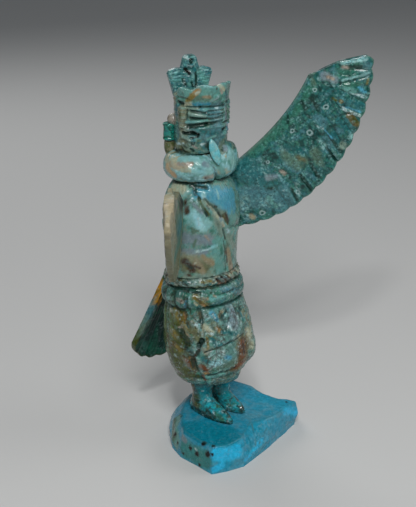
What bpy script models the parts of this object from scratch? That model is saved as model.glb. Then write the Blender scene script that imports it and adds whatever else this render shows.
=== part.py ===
# A winged dancer carved in turquoise, standing on a cut slab of the same stone.
# The body is one carved stone. The wings, the tail, the bird crest, the ear ornaments and the
# chin feather are stones of their own, each let into a seat in the body with a glue gap.
# Metres, +Z up. The dancer faces -Y and its own left is +X. The origin is under the slab.
import math

import bmesh
import bpy
from mathutils import Vector

MM = 0.001
GLUE_GAP = 0.3 * MM

# The slab: its height, its usual reach from the origin, and for each corner of its broken outline
# the direction in degrees and the shares of that reach at which its foot and its top edge lie.
SLAB_HEIGHT = 7.0 * MM
SLAB_EDGE_WEAR = 0.45 * MM
SLAB_REACH = 20.0 * MM
SLAB_CORNERS = (
    (48, 0.880, 0.805), (24, 0.800, 0.685), (3, 0.790, 0.580), (-13, 0.890, 0.620),
    (-22, 0.970, 0.680), (-31, 0.910, 0.770), (-42, 0.750, 0.730), (-62, 0.635, 0.620),
    (-86, 0.650, 0.530), (-106, 0.740, 0.505), (-124, 0.930, 0.795), (-137, 1.035, 1.000),
    (-146, 1.135, 1.060), (-160, 1.000, 0.980), (-176, 0.960, 0.910), (168, 0.910, 0.775),
    (148, 0.850, 0.695), (126, 0.835, 0.660), (104, 0.830, 0.685), (76, 0.860, 0.750),
)

# Where the dancer stands on the slab, and how far the body leans from over its feet.
STANCE_RIGHT, STANCE_BACK = 3.5 * MM, 4.5 * MM
LEAN_RIGHT, LEAN_BACK = 1.3 * MM, 2.3 * MM

# Heights of the body's zones, stacked from the soles upwards.
LEG_HEIGHT = 9.9 * MM
KILT_HEIGHT = 20.9 * MM
SASH_HEIGHT = 5.1 * MM
CORD_HEIGHT = 2.8 * MM
TORSO_HEIGHT = 23.8 * MM
RUFF_HEIGHT = 6.6 * MM
CHIN_HEIGHT = 3.4 * MM
MASK_HEIGHT = 8.8 * MM
TIARA_HEIGHT = 4.8 * MM

# Half-widths of the zones, from side to side and from front to back.
KILT_SIDE, KILT_DEPTH = 12.3 * MM, 10.0 * MM
SASH_SIDE, SASH_DEPTH = 11.4 * MM, 8.9 * MM
CORD_SIDE, CORD_DEPTH = 10.6 * MM, 8.1 * MM
TORSO_SIDE, TORSO_DEPTH = 10.1 * MM, 7.6 * MM
RUFF_SIDE, RUFF_DEPTH = 9.9 * MM, 8.0 * MM
MASK_SIDE, MASK_DEPTH = 6.6 * MM, 6.3 * MM
TIARA_SIDE, TIARA_DEPTH = 7.3 * MM, 7.1 * MM
TIARA_WALL = 1.3 * MM
SEGMENTS = 42

# Directions round the body, in degrees: 0 is the dancer's left and -90 its front.
# The head is turned a little towards the dancer's right.
FACE = -109
KILT_EDGE = -142
SASH_END = -50
SASH_KNOT = -172
CAPE_OPENING = -146
RUFF_PARTING = -105
RUFF_CREST = -55
EYE_SPREAD = 43
LOCK_SPREAD = 66
EAR_SPREAD = 114
TIARA_SPREAD = 76
LOBE_PITCH = 45

# Depths of the carving. The ruff's parting slants by so many degrees for each mm of height.
CAPE_RELIEF = 0.55 * MM
KILT_LAP = 0.75 * MM
KILT_HOLLOW = 1.3 * MM
KILT_SWING = 0.35 * MM
KILT_FOLD = 0.3 * MM
SASH_END_RELIEF = 0.9 * MM
KNOT_RELIEF = 0.35 * MM
RUFF_PARTING_DEPTH = 1.0 * MM
RUFF_PARTING_SLANT = 3.5
RUFF_RISE = 2.3 * MM
RUFF_STRAND = 0.2 * MM
RIDGES = 7
RIDGE_DEPTH = 0.4 * MM
EYE_DEPTH = 1.0 * MM
EYE_HEIGHT = 0.9 * MM
LOCK_RELIEF = 0.55 * MM
LOBE_RISE = 0.55 * MM

# Legs and feet.
LEG_SPACING = 6.2 * MM
LEG_RADIUS = 2.8 * MM
FOOT_WIDTH = 5.3 * MM
INSTEP_HEIGHT = 4.6 * MM
HEEL_LENGTH = 3.3 * MM
RIGHT_TOE_LENGTH = 11.3 * MM
LEFT_TOE_LENGTH = 9.2 * MM

# Wings: one outline for both. Each swings forward from the shoulder, the left one raised and the
# right one nearly level.
SHOULDER_REACH = 9.0 * MM
SHOULDER_TURN = 7
WING_HEIGHT = 17.0 * MM
WING_SET_IN = 0.6 * MM
LEFT_WING_SWEEP, LEFT_WING_LIFT = 45, 40
RIGHT_WING_SWEEP, RIGHT_WING_LIFT = 47.5, 9
WING_LENGTH = 48.8 * MM
WING_CHORD = 17.8 * MM
WRIST_REACH = 35.0 * MM
WING_ROOT_THICKNESS = 3.2 * MM
WING_TIP_THICKNESS = 1.7 * MM
WING_FEATHERS = 16
FEATHER_STEP = 0.3 * MM
COVERT_STEP = 0.35 * MM
SCALLOP = 0.55 * MM

# Tail: a cupped fan of feathers behind the kilt.
TAIL_LENGTH = 28.4 * MM
TAIL_SIDE_LENGTH = 21.5 * MM
TAIL_TOP_WIDTH = 9.0 * MM
TAIL_FAN = 22
TAIL_TILT = 18
TAIL_THICKNESS = 1.9 * MM
TAIL_CUP = 1.4 * MM
TAIL_FEATHERS = 7

# Crest: a small bird with its wings held up, at the back of the head.
CREST_SPREAD = 11.6 * MM
CREST_FOOT_WIDTH = 8.2 * MM
CREST_HEIGHT = 7.0 * MM
CREST_THICKNESS = 1.9 * MM
CREST_REACH = 7.1 * MM
CREST_SINK = 0.5 * MM
CREST_TIP_CUT = 1.3 * MM
CREST_CORNER = 0.5 * MM
BIRD_NECK_DIP = 0.2 * MM
BIRD_NECK_WIDTH = 4.7 * MM
BIRD_HEAD_WIDTH = 3.3 * MM
BIRD_HEAD_HEIGHT = 3.3 * MM
BEAK_LENGTH = 1.2 * MM

# Ear ornaments, and the feather under the chin. The left ear sits a little higher.
EAR_HEIGHT = 3.9 * MM
LEFT_EAR_RISE = 0.8 * MM
EAR_RADIUS = 1.5 * MM
BEAD_RADIUS, BEAD_HEIGHT = 1.55 * MM, 4.2 * MM
DROP_RADIUS, DROP_HEIGHT = 1.35 * MM, 3.7 * MM
CHIN_FEATHER_HEIGHT, CHIN_FEATHER_WIDTH = 6.4 * MM, 2.6 * MM
CHIN_FEATHER_THICKNESS = 1.3 * MM
CHIN_FEATHER_STAND_OFF = 1.1 * MM
CHIN_FEATHER_LEAN = -14

SOLE = SLAB_HEIGHT + GLUE_GAP
HEM = SOLE + LEG_HEIGHT
KILT_TOP = HEM + KILT_HEIGHT
SASH_TOP = KILT_TOP + SASH_HEIGHT
CORD_TOP = SASH_TOP + CORD_HEIGHT
SHOULDER = CORD_TOP + TORSO_HEIGHT
RUFF_TOP = SHOULDER + RUFF_HEIGHT
CHIN = RUFF_TOP + CHIN_HEIGHT
BROW = CHIN + MASK_HEIGHT
RIM = BROW + TIARA_HEIGHT
CREST_FOOT = BROW - CREST_SINK

STANCE = Vector((-STANCE_RIGHT, STANCE_BACK, 0))
LEAN = Vector((-LEAN_RIGHT, LEAN_BACK, 0))


def smooth(low, high, value):
    share = min(1.0, max(0.0, (value - low) / (high - low)))
    return share * share * (3 - 2 * share)


def hump(value, centre, reach):
    """1 at the centre, falling smoothly to 0 at the reach."""
    return 1 - smooth(0, reach, abs(value - centre))


def waves(count, angle):
    return math.cos(math.radians(count * angle))


def turn(angle, other):
    """The angle from other to angle, from -180 to 180 degrees."""
    return (angle - other + 180) % 360 - 180


def axis_at(z):
    """The middle of the body at a height: it leans back above the kilt."""
    return STANCE + LEAN * smooth(HEM, SASH_TOP + 0.3 * TORSO_HEIGHT, z)


def around(angle, reach, z):
    """A point at a direction and a reach from the body's middle."""
    bearing = math.radians(angle)
    return axis_at(z) + Vector((reach * math.cos(bearing), reach * math.sin(bearing), z))


def new_object(name, bm):
    bmesh.ops.recalc_face_normals(bm, faces=bm.faces)
    mesh = bpy.data.meshes.new(name)
    bm.to_mesh(mesh)
    bm.free()
    return bpy.data.objects.new(name, mesh)


def loft(name, rings):
    """A closed skin over rings that all have as many points, with a flat cap at each end."""
    bm = bmesh.new()
    rows = [[bm.verts.new(point) for point in ring] for ring in rings]
    count = len(rows[0])
    for low, high in zip(rows, rows[1:]):
        for k in range(count):
            after = (k + 1) % count
            bm.faces.new((low[k], low[after], high[after], high[k]))
    bm.faces.new(rows[0])
    bm.faces.new(rows[-1])
    return new_object(name, bm)


def turned(name, profile, steps):
    """A shape turned about Z, from (radius, height) points that run down its outer side."""
    mesh = bpy.data.meshes.new(name)
    points = [(radius, 0, z) for radius, z in profile]
    points = [(0, 0, profile[0][1])] + points + [(0, 0, profile[-1][1])]
    mesh.from_pydata(points, [(k, k + 1) for k in range(len(points) - 1)], [])
    piece = bpy.data.objects.new(name, mesh)
    screw = piece.modifiers.new("turned", "SCREW")
    screw.steps = steps
    screw.render_steps = steps
    screw.use_merge_vertices = True
    screw.merge_threshold = 0.01 * MM
    return piece


# The kilt, from its hem to the sash.
def kilt_carving(angle, z):
    """The overlap with its hollow, the hanging sash end, the folds, the hem band and the swing."""
    height = (z - HEM) / KILT_HEIGHT
    past = turn(angle, KILT_EDGE + 7 * math.sin(2 * math.pi * (height + 0.35)))
    lap = KILT_LAP * smooth(-3, 3, past) * (1 - smooth(50, 100, past))
    hollow = KILT_HOLLOW * hump(past, -5, 9) * hump(height, 0.36, 0.17)
    end = SASH_END_RELIEF * hump(turn(angle, SASH_END), 0, 17) * smooth(0.02, 0.12, height)
    folds = KILT_FOLD * waves(12, angle) * smooth(0.45, 1.0, height)
    band = KILT_FOLD * (1 - smooth(0.08, 0.12, height))
    swing = KILT_SWING * hump(turn(angle, SASH_END), 0, 55) * hump(height, 0.3, 0.24)
    return lap - hollow + end + folds + band + swing


def kilt_rings():
    """Drawn in at the hem, fullest below the middle, narrower again under the sash."""
    for step in range(11):
        share = step / 10
        if share < 0.45:
            swell = 0.74 + 0.26 * math.sin(math.pi / 2 * share / 0.45) ** 0.7
        else:
            swell = 0.82 + 0.18 * math.cos(math.pi / 2 * (share - 0.45) / 0.55)
        yield HEM + share * KILT_HEIGHT, KILT_SIDE * swell, KILT_DEPTH * swell, kilt_carving


# The two rolls at the waist: a broad sash knotted on the right hip, and a cord above it.
def sash_carving(angle, z):
    gather = hump(turn(angle, SASH_KNOT), 0, 48)
    return KNOT_RELIEF * gather * (1 + waves(22, angle))


def cord_carving(angle, z):
    return 0.5 * KNOT_RELIEF * waves(8, angle)


def roll_rings(low, high, side, depth, carving, steps):
    """A rounded roll that stands out between two heights."""
    for step in range(1, steps):
        share = step / steps
        swell = 0.86 + 0.14 * math.sin(math.pi * share) ** 0.6
        yield low + share * (high - low), side * swell, depth * swell, carving


# The torso, under a cape of feathers that opens over the right breast.
def cape_edge(angle):
    """How high the cape's lower edge lies, as a share of the torso."""
    past = turn(angle, CAPE_OPENING) % 360
    level = 0.93 - 0.42 * smooth(0, 95, past)
    return level + 0.12 * smooth(150, 260, past) + 0.3 * smooth(325, 360, past)


def torso_carving(angle, z):
    height = (z - CORD_TOP) / TORSO_HEIGHT
    above = height - cape_edge(angle)
    cape = CAPE_RELIEF * smooth(-0.03, 0.03, above)
    trim = 0.7 * CAPE_RELIEF * hump(above, -0.09, 0.09)
    breast = CAPE_RELIEF * hump(turn(angle, CAPE_OPENING + 12), 0, 34) * hump(height, 0.6, 0.24)
    belly = 0.6 * CAPE_RELIEF * hump(turn(angle, FACE), 0, 80) * hump(height, 0.2, 0.2)
    return cape + trim + breast + belly


def torso_rings():
    for step in range(10):
        share = step / 9
        swell = 1 - 0.40 * max(0.0, (share - 0.6) / 0.4) ** 2.6 - 0.02 * math.cos(2 * math.pi * share)
        yield CORD_TOP + share * TORSO_HEIGHT, TORSO_SIDE * swell, TORSO_DEPTH * swell, torso_carving


# The ruff round the neck: a thick roll of strands, parted under the chin.
def ruff_carving(angle, z):
    above_middle = (z - SHOULDER - RUFF_HEIGHT / 2) / MM
    parting = turn(angle, RUFF_PARTING) + RUFF_PARTING_SLANT * above_middle
    return -RUFF_PARTING_DEPTH * hump(parting, 0, 11) - RUFF_STRAND * waves(16, angle)


def ruff_rings():
    radius = RUFF_HEIGHT / 2
    for bend in (-70, -40, -10, 20, 48, 74, 98):
        out = 0.9 * radius * (1 - math.cos(math.radians(bend)))
        z = SHOULDER + radius * (1 + math.sin(math.radians(bend)))
        yield z, RUFF_SIDE - out, RUFF_DEPTH - out, ruff_carving


def ruff_lift(angle, z):
    """How far the ruff's upper side rises beside its parting."""
    upper = smooth(SHOULDER + 0.3 * RUFF_HEIGHT, RUFF_TOP, z)
    below_chin = 1 - smooth(RUFF_TOP, RUFF_TOP + 0.3 * CHIN_HEIGHT, z)
    return RUFF_RISE * upper * below_chin * hump(turn(angle, RUFF_CREST), 0, 75)


# The head: a masked face of carved bands with two eye slots, and a lock of hair on each side.
def chin_carving(angle, z):
    return -0.5 * RIDGE_DEPTH * hump(abs(turn(angle, FACE)), 45, 30)


def mask_carving(angle, z):
    aside = abs(turn(angle, FACE))
    height = (z - CHIN) / MASK_HEIGHT
    front = 1 - smooth(46, 56, aside)
    bands = RIDGE_DEPTH * (math.cos(2 * math.pi * RIDGES * height) - 1) / 2
    lock = LOCK_RELIEF * hump(aside, LOCK_SPREAD, 17) * smooth(0.3, 0.38, height)
    eye_line = hump(height * MASK_HEIGHT, 0.24 * MASK_HEIGHT, EYE_HEIGHT)
    slot = EYE_DEPTH * hump(aside, EYE_SPREAD, 16) * eye_line
    return bands * (0.35 + 0.65 * front) + lock - slot


def head_rings():
    for share in (0.15, 0.5, 0.9):
        yield RUFF_TOP + share * CHIN_HEIGHT, 0.87 * MASK_SIDE, 0.87 * MASK_DEPTH, chin_carving
    steps = 2 * RIDGES + 2
    for step in range(steps + 1):
        yield CHIN + step / steps * MASK_HEIGHT, MASK_SIDE, MASK_DEPTH, mask_carving


# The tiara: lobes round the brow that end in front of the crest.
def tiara_share(angle):
    return 1 - smooth(TIARA_SPREAD - 10, TIARA_SPREAD + 12, abs(turn(angle, FACE - 4)))


def lobes(angle):
    return waves(360 / LOBE_PITCH, turn(angle, FACE - 15))


def tiara_carving(angle, z):
    flare = 0.45 * LOBE_RISE * lobes(angle) * smooth(BROW + 0.3 * TIARA_HEIGHT, RIM, z)
    behind = 0.55 * LOBE_RISE * (1 - tiara_share(angle))
    return (flare - behind) * smooth(BROW, BROW + 0.2 * TIARA_HEIGHT, z)


def tiara_rings():
    """The tiara's outer side, then its rim."""
    for share in (0.08, 0.3, 0.65, 1.0):
        grow = 0.92 + 0.08 * share
        yield BROW + share * TIARA_HEIGHT, TIARA_SIDE * grow, TIARA_DEPTH * grow, tiara_carving
    yield RIM, TIARA_SIDE - TIARA_WALL, TIARA_DEPTH - TIARA_WALL, tiara_carving


def tiara_drop(angle, z):
    """How far the tiara falls short of its rim: a little between lobes, and nearly all behind."""
    share = tiara_share(angle)
    drop = 0.72 * TIARA_HEIGHT * (1 - share) + LOBE_RISE * (1 - lobes(angle)) / 2 * share
    return drop * max(0.0, z - BROW) / TIARA_HEIGHT


def body_ring(z, side, depth, carving):
    ring = []
    for k in range(SEGMENTS):
        angle = 360 * k / SEGMENTS
        bearing = math.radians(angle)
        reach = side * depth / math.hypot(depth * math.cos(bearing), side * math.sin(bearing))
        point = around(angle, reach + carving(angle, z), z)
        point.z += ruff_lift(angle, z) - tiara_drop(angle, z)
        ring.append(point)
    return ring


def make_trunk(name):
    """Kilt, waist, torso, ruff and head as one carved stone."""
    sizes = list(kilt_rings())
    sizes += roll_rings(KILT_TOP, SASH_TOP, SASH_SIDE, SASH_DEPTH, sash_carving, 5)
    sizes += roll_rings(SASH_TOP, CORD_TOP, CORD_SIDE, CORD_DEPTH, cord_carving, 4)
    sizes += torso_rings()
    sizes += ruff_rings()
    sizes += head_rings()
    sizes += tiara_rings()
    rings = [body_ring(*size) for size in sizes]
    crown = BROW + 0.28 * TIARA_HEIGHT
    rings.append([Vector((point.x, point.y, min(point.z, crown))) for point in rings[-1]])
    return loft(name, rings)


# Legs and feet. A side is 1 for the dancer's left and -1 for its right.
def make_leg(side):
    """A leg with a ring at the ankle and a swelling above it, reaching up into the kilt."""
    stations = (
        (1.25, 1.0), (0.82, 0.97), (0.7, 1.06), (0.62, 0.92),
        (0.48, 0.88), (0.38, 1.0), (0.3, 0.86), (0.1, 0.84),
    )
    profile = [(swell * LEG_RADIUS, share * LEG_HEIGHT) for share, swell in stations]
    leg = turned("leg", profile, 14)
    leg.location = STANCE + Vector((side * LEG_SPACING / 2, 0, SOLE))
    return leg


def make_foot(side, toe_length):
    """A moccasin: flat sole, high instep and a pointed toe."""
    stations = (
        (0.0, 0.45, 0.5), (0.06, 0.78, 0.78), (0.24, 0.94, 1.0), (0.4, 1.0, 0.92), (0.55, 1.0, 0.7),
        (0.7, 0.88, 0.54), (0.84, 0.64, 0.42), (0.95, 0.34, 0.34), (1.0, 0.16, 0.2),
    )
    rings = []
    for share, width, height in stations:
        y = HEEL_LENGTH - share * (HEEL_LENGTH + toe_length)
        half = width * FOOT_WIDTH / 2
        bends = [math.pi * k / 7 for k in range(8)]
        ring = [Vector((half * math.cos(b), y, height * INSTEP_HEIGHT * math.sin(b) ** 0.8)) for b in bends]
        rings.append(ring)
    foot = loft("foot", rings)
    foot.location = STANCE + Vector((side * LEG_SPACING / 2, 0, SOLE))
    return foot


def ear_z(side):
    return CHIN + EAR_HEIGHT + (LEFT_EAR_RISE if side > 0 else 0)


def make_ear(side):
    """The lobe that an ear ornament hangs from."""
    bm = bmesh.new()
    bmesh.ops.create_uvsphere(bm, u_segments=10, v_segments=6, radius=EAR_RADIUS)
    ear = new_object("ear", bm)
    ear.location = around(FACE + side * EAR_SPREAD, MASK_SIDE, ear_z(side))
    return ear


def feather_shares(feathers):
    """Where the lines over a row of feathers lie: three to a feather, the last by the next one."""
    return [(feather + offset) / feathers for feather in range(feathers) for offset in (0.0, 0.5, 0.96)]


# Wings, in their own frame: x along the wing from the shoulder, y to the leading edge.
def leading_edge():
    """Nearly straight, then rising to the wrist."""
    points = []
    for k in range(25):
        x = -0.25 * WRIST_REACH + 1.25 * WRIST_REACH * k / 24
        rise = 0.325 * max(0.0, x / WRIST_REACH) ** 3
        points.append(Vector((x, WING_CHORD * (0.253 + rise), 0)))
    return points


def trailing_edge():
    """Fullest near the shoulder, then swinging up in a long curve to the tip's corner."""
    fullest = 0.287 * WING_LENGTH
    start = -0.164 * WING_LENGTH
    low = -0.747 * WING_CHORD
    points = []
    for k in range(12):
        x = start + (fullest - start) * k / 12
        rise = 0.236 * WING_CHORD * ((fullest - x) / (0.32 * WING_LENGTH)) ** 2
        points.append(Vector((x, low + rise, 0)))
    for k in range(41):
        bend = math.radians(86) * k / 40
        rise = 0.955 * WING_CHORD * (1 - math.cos(bend) ** 1.7)
        points.append(Vector((fullest + (WING_LENGTH - fullest) * math.sin(bend), low + rise, 0)))
    points.append(Vector((0.975 * WING_LENGTH, 0.36 * WING_CHORD, 0)))
    return points


def along(points, share):
    """The point at a share of a line's length."""
    lengths = [(after - before).length for before, after in zip(points, points[1:])]
    rest = min(1.0, max(0.0, share)) * sum(lengths)
    for before, after, length in zip(points, points[1:], lengths):
        if rest <= length:
            return before.lerp(after, rest / length)
        rest -= length
    return points[-1].copy()


def wing_ring(share, lead, trail, grow):
    """One line across the wing and back: beyond the wrist the lines fan out from it to the tip."""
    wrist_share = 0.64
    start = along(lead, share / wrist_share)
    end = along(trail, share)
    beyond = max(0.0, (share - wrist_share) / (1 - wrist_share))
    start = start.lerp(trail[-1], 0.14 * beyond)
    across = (end - start).normalized()
    fraction = (share * WING_FEATHERS) % 1.0
    end += across * (SCALLOP * math.sin(math.pi * fraction) + grow)
    start -= across * grow
    thinning = smooth(0.05, 0.55, share)
    body = WING_ROOT_THICKNESS + (WING_TIP_THICKNESS - WING_ROOT_THICKNESS) * thinning
    front, back = [], []
    for row in (0.0, 0.09, 0.42, 0.52, 0.8, 1.0):
        edge = 1 - 0.45 * (1 - smooth(0, 0.15, row)) - 0.4 * smooth(0.5, 1.0, row)
        step = FEATHER_STEP * (0.5 - fraction) * smooth(0.42, 0.52, row)
        covert = COVERT_STEP * (1 - smooth(0.42, 0.52, row)) * smooth(0, 0.09, row)
        half = (body * edge + step + covert) / 2 + grow
        spot = start.lerp(end, row)
        front.append(spot + Vector((0, 0, half)))
        back.append(spot - Vector((0, 0, half)))
    return front + back[::-1]


def make_wing(name, side, sweep, lift, grow=0.0):
    """A wing, cut off upright where it is let into the torso."""
    lead, trail = leading_edge(), trailing_edge()
    shares = feather_shares(WING_FEATHERS) + [0.998]
    wing = loft(name, [wing_ring(share, lead, trail, grow) for share in shares])
    slope = math.radians(lift)
    outward = Vector((math.cos(slope), -math.sin(slope), 0))
    bm = bmesh.new()
    bm.from_mesh(wing.data)
    every = bm.verts[:] + bm.edges[:] + bm.faces[:]
    start = outward * -(WING_SET_IN + grow)
    cut = bmesh.ops.bisect_plane(bm, geom=every, plane_co=start, plane_no=outward, clear_inner=True)
    rim = [item for item in cut["geom_cut"] if isinstance(item, bmesh.types.BMEdge)]
    bmesh.ops.contextual_create(bm, geom=rim)
    bmesh.ops.recalc_face_normals(bm, faces=bm.faces)
    bm.to_mesh(wing.data)
    bm.free()
    bearing = SHOULDER_TURN + (0 if side > 0 else 180)
    wing.location = around(bearing, SHOULDER_REACH, CORD_TOP + WING_HEIGHT)
    heading = -sweep if side > 0 else 180 + sweep
    wing.rotation_euler = (math.radians(90), -slope, math.radians(heading))
    return wing


# Tail, in its own frame: hanging down -Z, with its back at +Y.
def tail_column(share, grow):
    """One line down the fan's front and up its back."""
    aside = 2 * share - 1
    fraction = (share * TAIL_FEATHERS) % 1.0
    lean = math.radians(TAIL_FAN) * aside
    length = TAIL_LENGTH + (TAIL_SIDE_LENGTH - TAIL_LENGTH) * aside * aside
    length += SCALLOP * math.sin(math.pi * fraction)
    front, back = [], []
    for row in (0.0, 0.35, 0.7, 1.0):
        x = aside * (TAIL_TOP_WIDTH / 2 + grow) + length * row * math.sin(lean)
        y = -TAIL_CUP * aside * aside * row
        z = -length * row * math.cos(lean) - grow * (2 * row - 1)
        step = FEATHER_STEP * (0.5 - fraction) * row
        half = TAIL_THICKNESS / 2 * (1 - 0.3 * row) + step + grow
        front.append(Vector((x, y - half, z)))
        back.append(Vector((x, y + half, z)))
    return front + back[::-1]


def make_tail(name, grow=0.0):
    """A fan that hangs behind the kilt from above the sash, scalloped along its foot."""
    shares = feather_shares(TAIL_FEATHERS) + [1.0]
    tail = loft(name, [tail_column(share, grow) for share in shares])
    tail.location = around(90, SASH_DEPTH - 0.4 * TAIL_THICKNESS, SASH_TOP)
    tail.rotation_euler = (math.radians(TAIL_TILT), 0, 0)
    return tail


# Crest, in its own frame: the outline upright over the foot's middle, facing -Y.
def crest_outline():
    """Foot, raised wing, neck and round head on one side, then the same mirrored."""
    foot, tip = CREST_FOOT_WIDTH / 2, CREST_SPREAD / 2
    neck, head = BIRD_NECK_WIDTH / 2, BIRD_HEAD_WIDTH / 2
    half = [
        (foot, 0),
        (tip, CREST_HEIGHT - CREST_TIP_CUT),
        (tip - CREST_CORNER, CREST_HEIGHT - CREST_CORNER),
        (neck + CREST_TIP_CUT, CREST_HEIGHT),
        (neck, CREST_HEIGHT - BIRD_NECK_DIP),
        (head, CREST_HEIGHT + 0.75 * BIRD_HEAD_HEIGHT),
        (0.6 * head, CREST_HEIGHT + BIRD_HEAD_HEIGHT),
    ]
    return half + [(-x, z) for x, z in reversed(half)]


def make_crest(name, grow=0.0):
    """The bird, with its edges rounded towards both faces."""
    rings = []
    for depth, inset in ((-0.5, 0.05), (-0.3, 0.0), (0.3, 0.0), (0.5, 0.05)):
        y = depth * (CREST_THICKNESS + 2 * grow)
        spread = 1 - inset + 2 * grow / CREST_SPREAD
        rings.append([Vector((x * spread, y, z * spread - grow)) for x, z in crest_outline()])
    crest = loft(name, rings)
    crest.location = around(FACE + 180, CREST_REACH, CREST_FOOT)
    crest.rotation_euler = (0, 0, math.radians(FACE + 90))
    return crest


def make_beak():
    """A short cone on the bird's face, hooked down."""
    bm = bmesh.new()
    wide, tip, length = 0.36 * BIRD_HEAD_WIDTH, 0.08 * BIRD_HEAD_WIDTH, 2 * BEAK_LENGTH
    bmesh.ops.create_cone(bm, cap_ends=True, segments=6, radius1=wide, radius2=tip, depth=length)
    beak = new_object("beak", bm)
    height = CREST_FOOT + CREST_HEIGHT + 0.2 * BIRD_HEAD_HEIGHT
    beak.location = around(FACE + 180, CREST_REACH - CREST_THICKNESS / 2, height)
    beak.rotation_euler = (math.radians(115), 0, math.radians(FACE + 90))
    return beak


# Ear ornaments and the chin feather.
def ear_spot(side, z):
    return around(FACE + side * EAR_SPREAD, MASK_SIDE + 0.66 * BEAD_RADIUS, z)


def bead_top(side):
    return ear_z(side) - 0.55 * EAR_RADIUS


def make_bead(name, side, grow=0.0):
    """A round bead with a lip at each end."""
    lip, groove = 0.14 * BEAD_HEIGHT, 0.9 * BEAD_RADIUS
    upper = [(0.86 * BEAD_RADIUS, 0), (BEAD_RADIUS, -0.35 * lip), (BEAD_RADIUS, -lip), (groove, -1.3 * lip)]
    profile = upper + [(radius, -BEAD_HEIGHT - z) for radius, z in reversed(upper)]
    middle = -BEAD_HEIGHT / 2
    grown = [(radius + grow, z + math.copysign(grow, z - middle)) for radius, z in profile]
    bead = turned(name, grown, 12)
    bead.location = ear_spot(side, bead_top(side))
    return bead


def make_drop(name, side, grow=0.0):
    """A rounded drop that hangs under the bead."""
    profile = []
    for step in range(7):
        share = step / 6
        radius = DROP_RADIUS * math.sin(math.pi * (0.66 - 0.6 * share)) ** 0.55
        profile.append((radius + grow, -share * DROP_HEIGHT + (1 - 2 * share) * grow))
    drop = turned(name, profile, 12)
    drop.location = ear_spot(side, bead_top(side) - BEAD_HEIGHT - GLUE_GAP)
    return drop


def make_chin_feather(name, grow=0.0):
    """A leaf-shaped stone that hangs from the chin over the ruff's parting."""
    bm = bmesh.new()
    bmesh.ops.create_uvsphere(bm, u_segments=10, v_segments=8, radius=0.5)
    size = Vector((CHIN_FEATHER_THICKNESS, CHIN_FEATHER_WIDTH, CHIN_FEATHER_HEIGHT))
    bmesh.ops.scale(bm, vec=size + Vector((2 * grow,) * 3), verts=bm.verts)
    feather = new_object(name, bm)
    reach = MASK_DEPTH + CHIN_FEATHER_STAND_OFF
    feather.location = around(RUFF_PARTING, reach, RUFF_TOP + 0.15 * CHIN_FEATHER_HEIGHT)
    feather.rotation_euler = (0, math.radians(CHIN_FEATHER_LEAN), math.radians(RUFF_PARTING))
    return feather


def make_slab(name):
    """The cut slab: bellied flanks that lean in to a flat top with a worn edge."""
    rings = []
    for share, lean in ((0.0, 0.08), (0.35, 0.0), (0.7, 0.4), (0.92, 0.9), (1.0, 1.0)):
        wear = SLAB_EDGE_WEAR if share == 1.0 else 0.0
        z = share * SLAB_HEIGHT
        ring = []
        for angle, foot, top in SLAB_CORNERS:
            bearing = math.radians(angle)
            reach = (foot + (top - foot) * lean) * SLAB_REACH - wear
            ring.append(Vector((reach * math.cos(bearing), reach * math.sin(bearing), z)))
        rings.append(ring)
    return loft(name, rings)


def shape_with(piece, helper, operation, collection):
    """Joins a helper to a piece, or cuts it away, and keeps the helper out of the render."""
    collection.objects.link(helper)
    helper.hide_render = True
    helper.display_type = "WIRE"
    modifier = piece.modifiers.new(helper.name, "BOOLEAN")
    modifier.operation = operation
    modifier.solver = "EXACT"
    modifier.object = helper


def make_dancer(joined, seats):
    """The body, with its legs joined on and a seat cut for each stone that is let into it."""
    dancer = make_trunk("dancer")
    for side, toe_length in ((-1, RIGHT_TOE_LENGTH), (1, LEFT_TOE_LENGTH)):
        for helper in (make_leg(side), make_foot(side, toe_length), make_ear(side)):
            shape_with(dancer, helper, "UNION", joined)
    cutters = [
        make_wing("left_wing_seat", 1, LEFT_WING_SWEEP, LEFT_WING_LIFT, GLUE_GAP),
        make_wing("right_wing_seat", -1, RIGHT_WING_SWEEP, RIGHT_WING_LIFT, GLUE_GAP),
        make_tail("tail_seat", GLUE_GAP),
        make_crest("crest_seat", GLUE_GAP),
        make_chin_feather("chin_feather_seat", GLUE_GAP),
        make_bead("left_bead_seat", 1, GLUE_GAP),
        make_bead("right_bead_seat", -1, GLUE_GAP),
        make_drop("right_drop_seat", -1, GLUE_GAP),
    ]
    for cutter in cutters:
        shape_with(dancer, cutter, "DIFFERENCE", seats)
    return dancer


def stone(name, colour, roughness):
    material = bpy.data.materials.new(name)
    material.use_nodes = True
    shader = material.node_tree.nodes["Principled BSDF"]
    shader.inputs["Base Color"].default_value = (*colour, 1.0)
    shader.inputs["Roughness"].default_value = roughness
    shader.inputs["Metallic"].default_value = 0.0
    return material


def new_collection(name):
    collection = bpy.data.collections.new(name)
    bpy.context.scene.collection.children.link(collection)
    return collection


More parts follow.
